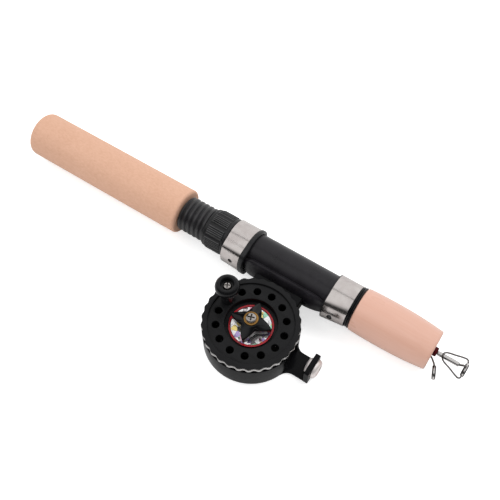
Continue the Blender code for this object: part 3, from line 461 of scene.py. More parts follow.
def merge(piece, *others):
    """Puts the other pieces' meshes into the first one, without a union."""
    shape = bmesh.new()
    shape.from_mesh(piece.data)
    for other in others:
        shape.from_mesh(other.data)
        bpy.data.objects.remove(other, do_unlink=True)
    shape.to_mesh(piece.data)
    shape.free()


def dress(piece, body, material, node):
    """Gives a piece its material and its body, and hides the CAD node that it stands for."""
    piece.data.materials.clear()
    piece.data.materials.append(material)
    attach(piece, body)
    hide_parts(node)


def second_tone(piece, material, move, chosen):
    """Gives a second material to the faces whose middle, in the frame of move, is chosen."""
    piece.data.materials.append(material)
    back = move.inverted()
    for face in piece.data.polygons:
        if chosen(back @ face.center):
            face.material_index = 1


# ---- Handle ----


TUBE_HOLE = 0.0068
SEAT_RADIUS = 0.0109


def arc(along, radius, size, start, end, steps):
    """A round corner of a profile about (along, radius), with next to no further rounding."""
    angles = [radians(start + (end - start) * i / steps) for i in range(steps + 1)]
    return [(along + size * cos(a), radius + size * sin(a), 0.00005) for a in angles]


def make_grips():
    rear_edge = 0.0030
    front_edge = 0.0016
    front = -0.1707
    outer = arc(BUTT_X + rear_edge, GRIP_RADIUS - rear_edge, rear_edge, 180, 90, 10)
    outer += arc(front - front_edge, GRIP_RADIUS - front_edge, front_edge, 90, 0, 8)
    bore = [(BUTT_X, TUBE_HOLE), (front, TUBE_HOLE)]
    grip = turned("fine_rear_grip", outer, bore, 128, ALONG_ROD)
    dress(grip, "handle", foam, "rear_grip")
    soft = 0.004
    outer = [
        (-0.0531, 0.0122),
        (-0.0525, 0.0129, 0.0006),
        (-0.0460, 0.0132, soft),
        (-0.0360, 0.0133, soft),
        (-0.0260, 0.0131, soft),
        (-0.0190, 0.0127, soft),
        (-0.0125, 0.0121, 0.002),
        (-0.0074, 0.0115, 0.0008),
        (-0.0069, 0.0109, 0.0003),
    ]
    bore = [(outer[0][0], TUBE_HOLE), (outer[-1][0], TUBE_HOLE)]
    grip = turned("fine_front_grip", outer, bore, 128, ALONG_ROD, steps=5)
    dress(grip, "handle", lacquered, "front_grip")


def make_butt_cap():
    outer = [
        (BUTT_X + 0.0002, 0.0058),
        (BUTT_X + 0.0006, 0.0065),
        (BUTT_X + 0.0020, 0.0065),
        (BUTT_X + 0.0020, 0.0039),
        (BUTT_X + 0.0080, 0.0037),
    ]
    cap = turned("fine_butt_cap", outer, None, 96, ALONG_ROD)
    dress(cap, "handle", black, "butt_cap")


THREAD_PITCH = 0.00325
THREAD_CREST = 0.01068
THREAD_DEPTH = 0.0011


def make_seat_tube():
    """The seat's tube with the screw thread's broad ribs and narrow grooves."""
    rear = -0.1704
    thread_front = -0.1355
    rows_per_turn = 18
    rows = int((thread_front - rear) / THREAD_PITCH * rows_per_turn)
    run_in_length = 0.0008
    groove_sharpness = 2.2
    front = -0.0534

    def profile_at(angle):
        outer = [(rear, THREAD_CREST - THREAD_DEPTH, 0.0)]
        for row in range(1, rows):
            x = rear + (thread_front - rear) * row / rows
            phase = 2 * pi * x / THREAD_PITCH + angle
            run_in = min(1.0, (x - rear) / run_in_length, (thread_front - x) / run_in_length)
            groove = (0.5 - 0.5 * cos(phase)) ** groove_sharpness
            outer.append((x, THREAD_CREST - THREAD_DEPTH * max(groove, 1 - run_in), 0.0))
        outer += [(thread_front, SEAT_RADIUS, 0.0001), (front, SEAT_RADIUS, 0.0001)]
        return outer + [(front, TUBE_HOLE, 0.0001), (rear, TUBE_HOLE, 0.0001)]

    tube = shell("fine_seat_tube", profile_at, 96, ALONG_ROD, steps=1)
    dress(tube, "handle", seat_black, "seat_tube")
    second_tone(tube, thread_black, ALONG_ROD, lambda middle: middle.z < thread_front)


def make_winding_check():
    rear, front = -0.0557, -0.0533
    middle = 0.5 * (rear + front)
    outer = [
        (rear, 0.0120),
        (rear + 0.0004, 0.0125),
        (middle - 0.0003, 0.0124),
        (middle, 0.0118),
        (middle + 0.0003, 0.0125),
        (front - 0.0004, 0.0127),
        (front, 0.0122),
    ]
    bore = [(rear, 0.0111), (front, 0.0111)]
    piece = turned("fine_winding_check", outer, bore, 128, ALONG_ROD)
    dress(piece, "handle", gloss_black, "winding_check")


# ---- Hoods and lock nut ----


def smooth_fall(angle, full, none):
    """1 within full degrees of the reel's side, 0 beyond none degrees, and smooth between."""
    away = abs((angle + pi) % (2 * pi) - pi)
    share = (radians(none) - away) / radians(none - full)
    share = min(1.0, max(0.0, share))
    return share * share * (3 - 2 * share)


def raised_over_tongue(angle):
    return smooth_fall(angle, 34, 66)


HOOD_BORE = 0.0111
REAR_BAND = 0.01267
FRONT_BAND = 0.0123
BAND_WALL = 0.00045
HOOD_GAP = 0.00012


def band_with_hole(name, rear, front_at, radius, bulges, hole_at, hole_radius, stretch=1.0):
    """A plated band, raised over the foot's tongue by bulges at its two ends.

    A small hole on the reel's side, at (x, z), may be stretched round the band.
    """

    def profile_at(angle):
        raised = raised_over_tongue(angle)
        front = front_at(angle)
        return [
            (rear, radius + bulges[0] * raised),
            (front, radius + bulges[1] * raised),
            (front, radius - BAND_WALL + bulges[1] * raised),
            (rear, radius - BAND_WALL + bulges[0] * raised),
        ]

    band = shell(name, profile_at, 240, ALONG_ROD, 0.00014)
    at_hole = Matrix.Translation((hole_at[0], 0.0, hole_at[1]))
    turn = Matrix.Rotation(radians(90), 4, "X")
    to_side = ROD @ at_hole @ turn @ Matrix.Diagonal((1.0, stretch, 1.0, 1.0))
    drill_ends = [(0.0120, hole_radius), (0.0185, hole_radius)]
    return cut(band, turned(name + "_drill", drill_ends, None, 40, to_side, 0.0))


def make_hoods():
    """Each hood is a black liner, with a pocket for the foot's tongue, under a plated band."""
    slant = -0.0012
    rear, lip, front = -0.1364, -0.1230, -0.1210
    liner_outer = REAR_BAND - BAND_WALL - HOOD_GAP

    def leaned(x, angle):
        return x + slant * 0.5 * (1 + cos(angle))

    def rear_profile(angle):
        raised = raised_over_tongue(angle)
        pocket = HOOD_BORE + 0.0024 * smooth_fall(angle, 36.5, 40)
        edge = leaned(lip, angle)
        return [
            (rear, liner_outer + 0.0018 * raised),
            (edge, liner_outer + 0.0023 * raised),
            (edge, REAR_BAND + 0.0003 + 0.0025 * raised, 0.0003),
            (front - 0.0003, REAR_BAND + 0.0003 + 0.0025 * raised, 0.0004),
            (front, REAR_BAND - 0.0003 + 0.0023 * raised),
            (front, pocket),
            (-0.1300, pocket, 0.0001),
            (-0.1302, HOOD_BORE, 0.0001),
            (rear, HOOD_BORE),
        ]

    liner = shell("fine_rear_hood_liner", rear_profile, 240, ALONG_ROD)
    dress(liner, "rear_hood", black, "rear_hood_liner")
    band = band_with_hole(
        "fine_rear_hood_band",
        rear,
        lambda angle: leaned(lip - 0.0002, angle),
        REAR_BAND,
        (0.0018, 0.0023),
        hole_at=(-0.1295, 0.0023),
        hole_radius=0.0014,
    )
    dress(band, "rear_hood", nickel, "rear_hood_band")

    rear, front = -0.0700, -0.0560
    liner_outer = FRONT_BAND - BAND_WALL - HOOD_GAP

    def front_profile(angle):
        raised = raised_over_tongue(angle)
        pocket = HOOD_BORE + 0.0013 * smooth_fall(angle, 36.5, 40)
        return [
            (rear, FRONT_BAND - 0.0001 + 0.0020 * raised),
            (-0.0697, FRONT_BAND + 0.0020 * raised, 0.0001),
            (-0.0697, liner_outer + 0.0020 * raised, 0.0001),
            (front, liner_outer + 0.0005 * raised, 0.0001),
            (front, HOOD_BORE, 0.0001),
            (-0.0633, HOOD_BORE, 0.0001),
            (-0.0635, pocket, 0.0001),
            (rear, pocket, 0.0001),
        ]

    liner = shell("fine_front_hood_liner", front_profile, 240, ALONG_ROD)
    dress(liner, "handle", black, "front_hood_liner")
    band = band_with_hole(
        "fine_front_hood_band",
        rear + 0.0005,
        lambda angle: front,
        FRONT_BAND,
        (0.0020, 0.0005),
        hole_at=(-0.0643, 0.0003),
        hole_radius=0.0015,
        stretch=1.6,
    )
    dress(band, "handle", nickel, "front_hood_band")


def make_lock_nut():
    """Finger panels with fine ridges, between smooth grooves and plain collars."""
    panels = 10
    ridge_pitch = 0.152
    bore = 0.01095
    rear, front = -0.1520, -0.1368
    panel_rear, panel_front = -0.1497, -0.1394
    top = 0.0123
    groove = top - 0.0006

    def height_at(angle):
        across = (angle * panels / (2 * pi)) % 1.0
        from_groove = min(across, 1 - across)
        rise = min(1.0, max(0.0, (from_groove - 0.075) / 0.045))
        rise = rise * rise * (3 - 2 * rise)
        ridge = 0.5 - 0.5 * cos(2 * pi * (across - 0.12) / ridge_pitch)
        return rise, rise * (0.30 + 0.70 * ridge)

    def profile_at(angle):
        rise, ridged = height_at(angle)
        high = groove + (top - groove) * ridged
        ends = groove + (top - groove) * 0.55 * rise
        return [
            (rear, 0.0113),
            (rear + 0.0004, 0.0117, 0.0003),
            (panel_rear - 0.0006, groove, 0.0003),
            (panel_rear - 0.0003, groove, 0.0001),
            (panel_rear, ends, 0.0001),
            (panel_rear + 0.0006, high, 0.0003),
            (panel_front - 0.0006, high, 0.0003),
            (panel_front, ends, 0.0001),
            (panel_front + 0.0003, groove, 0.0001),
            (front - 0.0018, groove + 0.0003, 0.0003),
            (front - 0.0003, 0.0121, 0.0003),
            (front, 0.0119),
            (front, bore),
            (rear, bore),
        ]

    nut = shell("fine_lock_nut", profile_at, 480, ALONG_ROD, steps=2)
    dress(nut, "lock_nut", nut_black, "lock_nut")

    # The faces on the ridge crests take the lighter black, a painted highlight.
    def on_crest(middle):
        crest = height_at(atan2(middle.y, middle.x) % (2 * pi))[1] > 0.86
        return crest and panel_rear < middle.z < panel_front and hypot(middle.x, middle.y) > groove

    second_tone(nut, nut_crest_highlight, ALONG_ROD, on_crest)


# ---- Reel ----

CUP_RADIUS = 0.0271
CUP_WALL = 0.0014
CUP_TOP = 0.0032
CUP_BOTTOM = -GRIP_RADIUS
CUP_FLOOR = -0.0113
ARM_TOP = -0.0120
FOOT_RADIUS = 0.0139
FOOT_BORE = 0.01118
FLANGE_RADIUS = 0.02685
FLANGE_WAVE = 0.00035
FLANGE_WAVES = 30
HOLE_COUNT = 14
HOLE_CIRCLE = 0.01922
HOLE_START = radians(112.6)
CRANK_HOLE = 12
FLANGE_FACE = 0.0073
EYELET_BORE = 0.0030
eyelet_at = middle_of("line_guide_eyelet")
EYELET_Y = eyelet_at.y - REEL_CENTRE.y
EYELET_Z = eyelet_at.z - REEL_CENTRE.z
PLATE_REAR = ROD_ORIGIN.x - 0.0596 - REEL_CENTRE.x
PLATE_FRONT = ROD_ORIGIN.x - 0.0567 - REEL_CENTRE.x
PLATE_NEAR_Y = ROD_ORIGIN.y - 0.0484 - REEL_CENTRE.y
PLATE_FAR_Y = ROD_ORIGIN.y - 0.0348 - REEL_CENTRE.y
PLATE_TOP = -0.0011


def make_reel_foot():
    """The saddle, whose tongues thin towards their ends. Stations are (x, half angle, radius)."""
    stations = [
        (-0.1290, 24, 0.0121),
        (-0.1284, 28, 0.0124),
        (-0.1270, 32, 0.0128),
        (-0.1210, 33, 0.0131),
        (-0.1195, 35, 0.0133),
        (-0.1180, 38.5, 0.0137),
        (-0.1165, 40, FOOT_RADIUS),
        (-0.0800, 40, FOOT_RADIUS),
        (-0.0770, 39.5, 0.0136),
        (-0.0740, 38, 0.0131),
        (-0.0715, 34.5, 0.0124),
        (-0.0702, 33, 0.0121),
        (-0.0665, 32, 0.0120),
        (-0.0650, 29, 0.0119),
        (-0.0645, 25, 0.0117),
    ]
    steps = 24
    edge = 0.06
    columns = []
    for x, half_angle, radius in stations:
        half = radians(half_angle)
        ring = []
        for i in range(steps + 1):
            share = 2 * i / steps - 1
            drop = max(0.0, (abs(share) - (1 - edge)) / edge) ** 2 * 0.0003
            angle = half * share
            ring.append(((radius - drop) * cos(angle), (radius - drop) * sin(angle), x))
        for i in range(steps, -1, -1):
            angle = half * (2 * i / steps - 1)
            ring.append((FOOT_BORE * cos(angle), FOOT_BORE * sin(angle), x))
        columns.append([ALONG_ROD @ Vector(point) for point in ring])
    count = len(columns[0])
    vertices = [point for column in columns for point in column]
    faces = [
        (c * count + i, (c + 1) * count + i, (c + 1) * count + (i + 1) % count, c * count + (i + 1) % count)
        for c in range(len(columns) - 1)
        for i in range(count)
    ]
    faces += [tuple(range(count)), tuple(range(len(vertices) - count, len(vertices)))]
    mesh = bpy.data.meshes.new("fine_reel_foot")
    mesh.from_pydata(vertices, [], faces)
    dress(finish_piece("fine_reel_foot", mesh), "handle", seat_black, "reel_foot")


def fillet_to_cup(edge_y, size, side):
    """Points of the concave round, of radius size, between the cup and an arm edge at edge_y."""
    centre_y = edge_y + side * size
    reach = CUP_RADIUS + size
    centre_x = sqrt(reach * reach - centre_y * centre_y)
    start = atan2(-side, 0.0)
    end = atan2(-centre_y, -centre_x)
    if side < 0 and end < start:
        end += 2 * pi
    if side > 0 and end > start:
        end -= 2 * pi
    steps = 14
    angles = [start + (end - start) * i / steps for i in range(steps + 1)]
    return [(centre_x + size * cos(a), centre_y + size * sin(a)) for a in angles]


def make_cup():
    """The cup, with a countersunk hole in its floor and a window for the line in its wall."""
    edge = 0.0012
    inside = CUP_RADIUS - CUP_WALL
    screw_hole, sunk_hole, sunk_depth = 0.0015, 0.0037, 0.0016
    outer = [(CUP_BOTTOM, CUP_RADIUS - edge)]
    for degrees in range(10, 91, 10):
        a = radians(degrees)
        outer.append((CUP_BOTTOM + edge * (1 - cos(a)), CUP_RADIUS - edge * (1 - sin(a)), 0.0))
    outer.append((CUP_TOP, CUP_RADIUS))
    hollow = [
        (CUP_BOTTOM, sunk_hole),
        (CUP_BOTTOM + sunk_depth, sunk_hole),
        (CUP_BOTTOM + sunk_depth, screw_hole),
        (CUP_FLOOR, screw_hole),
        (CUP_FLOOR, inside),
        (CUP_TOP, inside),
    ]
    cup = turned("fine_reel_frame", outer, hollow, 192, REEL)
    window_low = (0.0200, EYELET_Y - 0.0050, CUP_FLOOR + 0.0002)
    window_high = (0.0300, EYELET_Y + 0.0050, CUP_TOP + 0.0020)
    cut(cup, block("line_window", window_low, window_high, 0.0, REEL))
    return cup


def make_guide_arm():
    overlap = 0.001
    inside = CUP_RADIUS - overlap
    turn = radians(26)
    points = [(PLATE_REAR + overlap, PLATE_FAR_Y)]
    points += fillet_to_cup(PLATE_FAR_Y, 0.0050, 1)
    points += [(inside * cos(turn), inside * sin(turn))]
    points += [(inside * cos(turn), -inside * sin(turn))]
    points += reversed(fillet_to_cup(PLATE_NEAR_Y, 0.0060, -1))
    points += [(PLATE_REAR + overlap, PLATE_NEAR_Y)]
    return plate("guide_arm", points[::-1], [], CUP_BOTTOM + 0.0002, ARM_TOP, 0.0003, REEL)


def make_guide_plate():
    """The plate across the arm's end, drawn in Y and Z, with round upper corners."""
    half_width = 0.5 * (PLATE_FAR_Y - PLATE_NEAR_Y) + 0.0001
    mid_y = 0.5 * (PLATE_FAR_Y + PLATE_NEAR_Y)
    low_z = CUP_BOTTOM + 0.0001
    round_corner, square_corner = 0.0016, 0.0004
    loop = []
    for side, end_z, inwards, size, first in (
        (1, PLATE_TOP, -1, round_corner, 0),
        (-1, PLATE_TOP, -1, round_corner, 90),
        (-1, low_z, 1, square_corner, 180),
        (1, low_z, 1, square_corner, 270),
    ):
        for k in range(9):
            a = radians(first + 90 * k / 8)
            y = side * (half_width - size) + size * cos(a)
            loop.append((y, end_z + inwards * size + size * sin(a)))
    hole = circle(EYELET_BORE + 0.0009, 48, (EYELET_Y - mid_y, EYELET_Z))
    stand = REEL @ Matrix.Translation((0.0, mid_y, 0.0)) @ ACROSS
    return plate("guide_plate", loop, [hole], PLATE_REAR, PLATE_FRONT, 0.00035, stand)


def make_stem():
    """The block between cup and foot, hollowed to both."""
    stem = block("stem", (-0.1120, -0.0230, -0.0052), (-0.0816, -0.0118, 0.0040), 0.0008, ROD)
    foot_radius, cup_inside = FOOT_RADIUS + 0.0003, CUP_RADIUS - CUP_WALL
    cut(stem, turned("saddle", [(-0.13, foot_radius), (-0.06, foot_radius)], None, 128, ALONG_ROD, 0.0))
    cup_space = [(CUP_FLOOR, cup_inside), (CUP_TOP + 0.01, cup_inside)]
    cut(stem, turned("cup_space", cup_space, None, 128, REEL, 0.0))
    return stem


def make_reel_frame():
    cup = make_cup()
    merge(cup, make_guide_arm(), make_guide_plate(), make_stem())
    dress(cup, "handle", frame_black, "reel_frame")


def make_eyelet():
    rear, front = PLATE_REAR, PLATE_FRONT
    dome = 0.0026
    outer = [
        (rear - 0.0018, EYELET_BORE + 0.0007),
        (rear - 0.0012, EYELET_BORE + 0.0014, 0.0005),
        (rear - 0.0002, EYELET_BORE + 0.0016),
        (rear - 0.0002, EYELET_BORE + 0.0008),
        (front + 0.0002, EYELET_BORE + 0.0008),
        (front + 0.0002, EYELET_BORE + 0.0026, 0.0001),
        (front + 0.45 * dome, EYELET_BORE + 0.0025, 0.0009),
        (front + 0.85 * dome, EYELET_BORE + 0.0017, 0.0008),
        (front + dome, EYELET_BORE + 0.0007, 0.0004),
    ]
    bore = [
        (rear - 0.0018, EYELET_BORE + 0.0003),
        (rear - 0.0010, EYELET_BORE, 0.0006),
        (front + 0.6 * dome, EYELET_BORE, 0.0006),
        (front + dome, EYELET_BORE + 0.0002),
    ]
    across = Matrix.Translation((REEL_CENTRE.x, eyelet_at.y, eyelet_at.z)) @ ACROSS
    eyelet = turned("fine_eyelet", outer, bore, 96, across)
    dress(eyelet, "handle", eyelet_metal, "line_guide_eyelet")


def screw_with_cross(name, head, shank_bottom, move, turn):
    """A pan-head screw with a cross recess. The head is given as (radius, bottom, height)."""
    head_radius, head_bottom, head_height = head
    shank_radius = 0.0009
    top = head_bottom + head_height
    outer = [
        (shank_bottom, shank_radius),
        (head_bottom, shank_radius),
        (head_bottom, head_radius, 0.0001),
        (head_bottom + 0.45 * head_height, head_radius, 0.0003),
        (head_bottom + 0.85 * head_height, 0.78 * head_radius, 0.0005),
        (top, 0.42 * head_radius, 0.0004),
    ]
    screw = turned(name, outer, None, 72, move)
    low = (-0.66 * head_radius, -0.14 * head_radius, head_bottom + 0.12 * head_height)
    high = (0.66 * head_radius, 0.14 * head_radius, top + 0.001)
    for quarter in (0, 90):
        at = move @ Matrix.Rotation(turn, 4, "Z") @ Matrix.Rotation(radians(quarter), 4, "Z")
        cut(screw, block(name + "_slot", low, high, 0.00008, at, 1), 30)
    return screw


def dress_screw(screw, body, node, head, move):
    """The cross recess takes a darker metal than the head, as painted shade in the recess."""
    radius, bottom, height = head
    dress(screw, body, screw_metal, node)

    def in_recess(middle):
        from_axis = hypot(middle.x, middle.y)
        return bottom < middle.z < bottom + 0.8 * height and from_axis < 0.7 * radius

    second_tone(screw, recess_painted_shade, move, in_recess)


def wavy_circle(radius, points_per_wave=14):
    points = []
    count = FLANGE_WAVES * points_per_wave
    for i in range(count):
        angle = 2 * pi * i / count
        wavy = radius + FLANGE_WAVE * cos(FLANGE_WAVES * angle)
        points.append((wavy * cos(angle), wavy * sin(angle)))
    return points


def hole_position(number):
    angle = HOLE_START - number * 2 * pi / HOLE_COUNT
    return (HOLE_CIRCLE * cos(angle), HOLE_CIRCLE * sin(angle))


def make_spool():
    """The drum with its hub and rear flange, the front flange's plate with holes, and the wavy rim."""
    flange_bottom = 0.0043
    recess = 0.0146
    outer = [
        (-0.0108, 0.0243),
        (-0.0094, 0.0243),
        (-0.0090, 0.0165),
        (flange_bottom, 0.0165),
        (flange_bottom, 0.0168),
        (flange_bottom + 0.0006, 0.0168),
    ]
    hollow = [
        (-0.0108, 0.0138),
        (0.0008, 0.0138),
        (0.0008, 0.0058),
        (-0.0098, 0.0058),
        (-0.0098, 0.0037),
        (0.0030, 0.0037, 0.00005),
        (0.0030, recess, 0.00005),
        (flange_bottom + 0.0006, recess),
    ]
    drum = turned("fine_spool", outer, hollow, 144, REEL)
    holes = []
    for number in range(HOLE_COUNT):
        radius = 0.0019 if number == CRANK_HOLE else 0.00215
        holes.append(circle(radius, 40, hole_position(number)))
    inner = [circle(recess, 160)] + holes
    face = plate("flange_plate", circle(0.0254, 240), inner, flange_bottom, FLANGE_FACE, 0.00025, REEL)
    rim = plate("rim", wavy_circle(FLANGE_RADIUS), [circle(0.0238, 240)], 0.0069, 0.0083, 0.0003, REEL)
    merge(drum, face, rim)
    dress(drum, "spool", reel_black, "spool")
    trim_edge = wavy_circle(FLANGE_RADIUS + 0.00005)
    trim = plate("fine_trim_ring", trim_edge, [circle(0.0256, 240)], 0.0045, 0.0067, 0.0002, REEL)
    dress(trim, "spool", chrome, "flange_trim_ring")


def make_centre_trim():
    floor = 0.0033
    red_ring = ring("fine_red_ring", floor, floor + 0.0007, 0.0114, 0.0125, 144, REEL)
    dress(red_ring, "spool", red, "red_ring")
    disc = ring("fine_prismatic_disc", floor, floor + 0.0003, 0.0044, 0.0112, 144, REEL, 0.00005)
    dress(disc, "spool", foil, "prismatic_disc")
    washer = ring("fine_brass_washer", 0.01275, 0.01325, 0.0015, 0.0040, 96, REEL, 0.00012)
    dress(washer, "handle", brass, "brass_washer")


def make_star_knob():
    """Four pointed arms with hollow flanks, and a low dome round the screw."""
    tip, waist, bore = 0.0120, 0.0062, 0.0024
    first = radians(9)
    hollowness = 1.7

    def blade(angle, share):
        from_tip = abs(((angle - first) * 4 / pi + 1) % 2 - 1)
        return waist + (share * tip - waist) * (1 - from_tip) ** hollowness

    def profile_at(angle):
        full = blade(angle, 1.0)
        return [
            (0.0048, blade(angle, 0.96) - 0.0002),
            (0.0052, blade(angle, 0.97)),
            (0.0090, full),
            (0.0099, full - 0.0001, 0.0006),
            (0.0113, 0.28 * full + 0.0038, 0.0010),
            (0.0123, 0.0047, 0.0004),
            (0.0125, 0.0042),
            (0.0125, bore),
            (0.0048, bore),
        ]

    star = shell("fine_star_knob", profile_at, 240, REEL, steps=4)
    dress(star, "star_knob", gloss_black, "star_knob")


def make_crank():
    """A waisted handle with a mushroom head, dished for its screw."""
    cap = 0.0256
    outer = [
        (FLANGE_FACE + 0.0003, 0.0040),
        (FLANGE_FACE + 0.0011, 0.0037),
        (cap - 0.0078, 0.0037, 0.0008),
        (cap - 0.0068, 0.0044, 0.0008),
        (cap - 0.0060, 0.0061, 0.0008),
        (cap - 0.0046, 0.0068, 0.0008),
        (cap - 0.0030, 0.0069, 0.0009),
        (cap - 0.0012, 0.0063, 0.0010),
        (cap, 0.0048, 0.0006),
        (cap - 0.0003, 0.0039, 0.0003),
        (cap - 0.0010, 0.0034),
    ]
    bore = [
        (FLANGE_FACE + 0.0003, 0.0019),
        (cap - 0.0033, 0.0019),
        (cap - 0.0033, 0.0034),
        (cap - 0.0012, 0.0034),
    ]
    knob = turned("fine_crank_knob", outer, bore, 120, CRANK, steps=4)
    dress(knob, "crank_knob", gloss_black, "crank_knob")
    head = (0.00235, cap - 0.0031, 0.0014)
    screw = screw_with_cross("fine_crank_screw", head, cap - 0.0098, CRANK, 0.5)
    dress_screw(screw, "spool", "crank_screw", head, CRANK)


def make_reel_screws():
    head = (0.00295, 0.0134, 0.0015)
    centre = screw_with_cross("fine_centre_screw", head, 0.0071, REEL, 0.35)
    dress_screw(centre, "handle", "centre_screw", head, REEL)
    head = (0.0031, 0.0127, 0.0011)
    under = REEL @ Matrix.Rotation(pi, 4, "X")
    back = screw_with_cross("fine_spindle_screw", head, 0.0064, under, 0.6)
    dress_screw(back, "handle", "spindle_screw", head, under)


# ---- Telescoping sections ----

WIRE_RADIUS = 0.00047
RING_RADIUS = 0.00415
RING_BORE = 0.00305
LEG_END_RADIUS = 0.00410
HOOP_HALF_WIDTH = 0.00045
HOOP_WALL = 0.00045
TIP_RING_X = 0.0117
TIP_RING_DROP = 0.0026


def ring_pieces(name, centre, normal):
    """A guide's hoop, its flanged insert, and the place of both, whose local Z is the ring's axis."""
    move = ROD @ Matrix.Translation(centre) @ Vector(normal).to_track_quat("Z", "Y").to_matrix().to_4x4()
    half = HOOP_HALF_WIDTH
    hoop = ring(name + "_hoop", -half, half, RING_RADIUS - HOOP_WALL, RING_RADIUS, 96, move, 0.00015)
    lip, waist = 0.0010, half + 0.00015
    waist_radius, lip_radius = RING_RADIUS - 0.0006, RING_RADIUS - 0.0003
    outer = [
        (-lip, lip_radius - 0.0002, 0.0003),
        (-waist, lip_radius),
        (-waist, waist_radius, 0.00005),
        (waist, waist_radius, 0.00005),
        (waist, lip_radius),
        (lip, lip_radius - 0.0002, 0.0003),
    ]
    bore = [
        (-lip, RING_BORE + 0.0002, 0.0003),
        (0.0, RING_BORE, 0.0005),
        (lip, RING_BORE + 0.0002, 0.0003),
    ]
    return hoop, turned(name + "_ring", outer, bore, 96, move, 0.0001), move


def dress_guide(wires, insert, body, node_start, at_ring):
    """The hoop between the insert's dark flanges is brighter than the wires that carry it."""

    def on_hoop(middle):
        from_axis = hypot(middle.x, middle.y)
        return abs(middle.z) < HOOP_HALF_WIDTH + 0.00001 and -0.0006 < from_axis - RING_RADIUS < 0.0001

    dress(wires, body, wire_metal, node_start + "_frame")
    second_tone(wires, chrome, at_ring, on_hoop)
    dress(insert, body, ceramic, node_start + "_insert")


def make_mid_section():
    """The blank, and the thread wrap with one low round for each turn of thread."""
    outer = [(-0.2660, 0.0032), (-0.0049, 0.00215)]
    bore = [(-0.2660, 0.0017), (-0.0049, 0.0017)]
    blank = turned("fine_mid_blank", outer, bore, 48, ALONG_ROD, 0.0001)
    dress(blank, "mid_section", graphite, "mid_blank")
    rear, front, turns = -0.0165, -0.0050, 22
    step = (front - rear - 0.0010) / turns
    outer = [(rear, 0.0024)]
    for i in range(turns):
        x = rear + 0.0006 + step * i
        for share, radius in ((0.15, 0.00262), (0.5, 0.00268), (0.85, 0.00262)):
            outer.append((x + share * step, radius, 0.0002))
    outer += [(front, 0.0024)]
    bore = [(rear, 0.00232), (front, 0.00228)]
    wrap = turned("fine_mid_wrap", outer, bore, 64, ALONG_ROD, 0.0001, 2)
    dress(wrap, "mid_section", maroon, "mid_wrap")


def make_mid_guide():
    """Two legs lie under the wrap side by side, and then part and rise to the leaning ring."""
    turn, lean = radians(24.5), radians(22.8)
    forward = Vector((1.0, 0.0, 0.0))
    outward = Vector((0.0, -cos(turn), -sin(turn)))
    sideways = forward.cross(outward)
    centre = -0.0015 * forward + 0.0102 * outward
    normal = cos(lean) * forward - sin(lean) * outward
    up_ring = sin(lean) * forward + cos(lean) * outward
    hoop, insert, at_ring = ring_pieces("fine_mid_guide", centre, normal)
    rest = 0.00265 + WIRE_RADIUS + 0.0001
    legs = []
    for side in (-1, 1):
        angle = radians(32)
        foot = LEG_END_RADIUS * (sin(angle) * side * sideways - cos(angle) * up_ring)
        points = [
            -0.0150 * forward + rest * outward + side * 0.0005 * sideways,
            -0.0085 * forward + rest * outward + side * 0.0006 * sideways,
            -0.0070 * forward + (rest + 0.0002) * outward + side * 0.0008 * sideways,
            -0.0045 * forward + (rest + 0.0020) * outward + side * 0.0015 * sideways,
            centre + foot,
        ]
        legs.append(wire(f"mid_leg_{side + 2}", points, WIRE_RADIUS, ROD))
    merge(hoop, *legs)
    dress_guide(hoop, insert, "mid_section", "mid_guide", at_ring)


def make_tip():
    """The tip tube, with one bent wire round it to both sides of the ring and a strut to its top."""
    outer = [(-0.2600, 0.00145), (-0.0052, 0.0010), (0.0060, 0.00085)]
    blank = turned("fine_tip_blank", outer, None, 40, ALONG_ROD, 0.0001)
    dress(blank, "tip_section", graphite, "tip_blank")
    tube_rear, rear, front, radius = -0.0046, -0.0021, 0.0079, 0.0013
    outer = [(tube_rear, radius), (front - 0.0004, radius), (front, radius - 0.0003)]
    tube = turned("fine_tip_tube", outer, [(tube_rear, 0.00108), (front, 0.00108)], 64, ALONG_ROD, 0.0001)
    dress(tube, "tip_section", chrome, "tip_tube")
    centre, forward = (TIP_RING_X, 0.0, -TIP_RING_DROP), (1.0, 0.0, 0.0)
    hoop, insert, at_ring = ring_pieces("fine_tip_guide", centre, forward)
    over = radius + WIRE_RADIUS + 0.00012
    half = [
        (rear + 0.0004, 0.0008, over - 0.0001),
        (rear + 0.0008, 0.0017, 0.0011),
        (rear + 0.0017, 0.0026, 0.0006),
        (0.0040, 0.0042, -0.0003),
        (0.0092, 0.0060, -0.0015),
        (0.0103, 0.0062, -0.0018),
        (0.0113, 0.0056, -0.0022),
        (TIP_RING_X, LEG_END_RADIUS, -TIP_RING_DROP),
    ]
    points = [(x, -y, z) for x, y, z in reversed(half)] + [(rear + 0.0003, 0.0, over)] + half
    legs = wire("tip_legs", points, WIRE_RADIUS, ROD)
    strut_points = [
        (front + 0.0002, 0.0, 0.0),
        (front + 0.0011, 0.0, 0.0009),
        (TIP_RING_X - 0.0014, 0.0, 0.0020),
        (TIP_RING_X, 0.0, RING_RADIUS - TIP_RING_DROP + 0.00045),
    ]
    strut = wire("tip_strut", strut_points, 0.0006, ROD)
    merge(hoop, legs, strut)
    dress_guide(hoop, insert, "tip_section", "tip_guide", at_ring)


def dress_inner_nodes():
    """The pieces that stay inside keep their CAD shape and take a finer material."""
    inner = {
        "handle_tube": graphite,
        "spindle": steel,
        "foot_screw_1": steel,
        "foot_screw_2": steel,
        "tension_washer": steel,
        "crank_pin": steel,
        "spool_bushing": brass,
    }
    for name, material in inner.items():
        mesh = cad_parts[name].data
        if not mesh.materials:
            mesh.materials.append(material)
        for i in range(len(mesh.materials)):
            mesh.materials[i] = material


# ---- Floor, light and camera ----


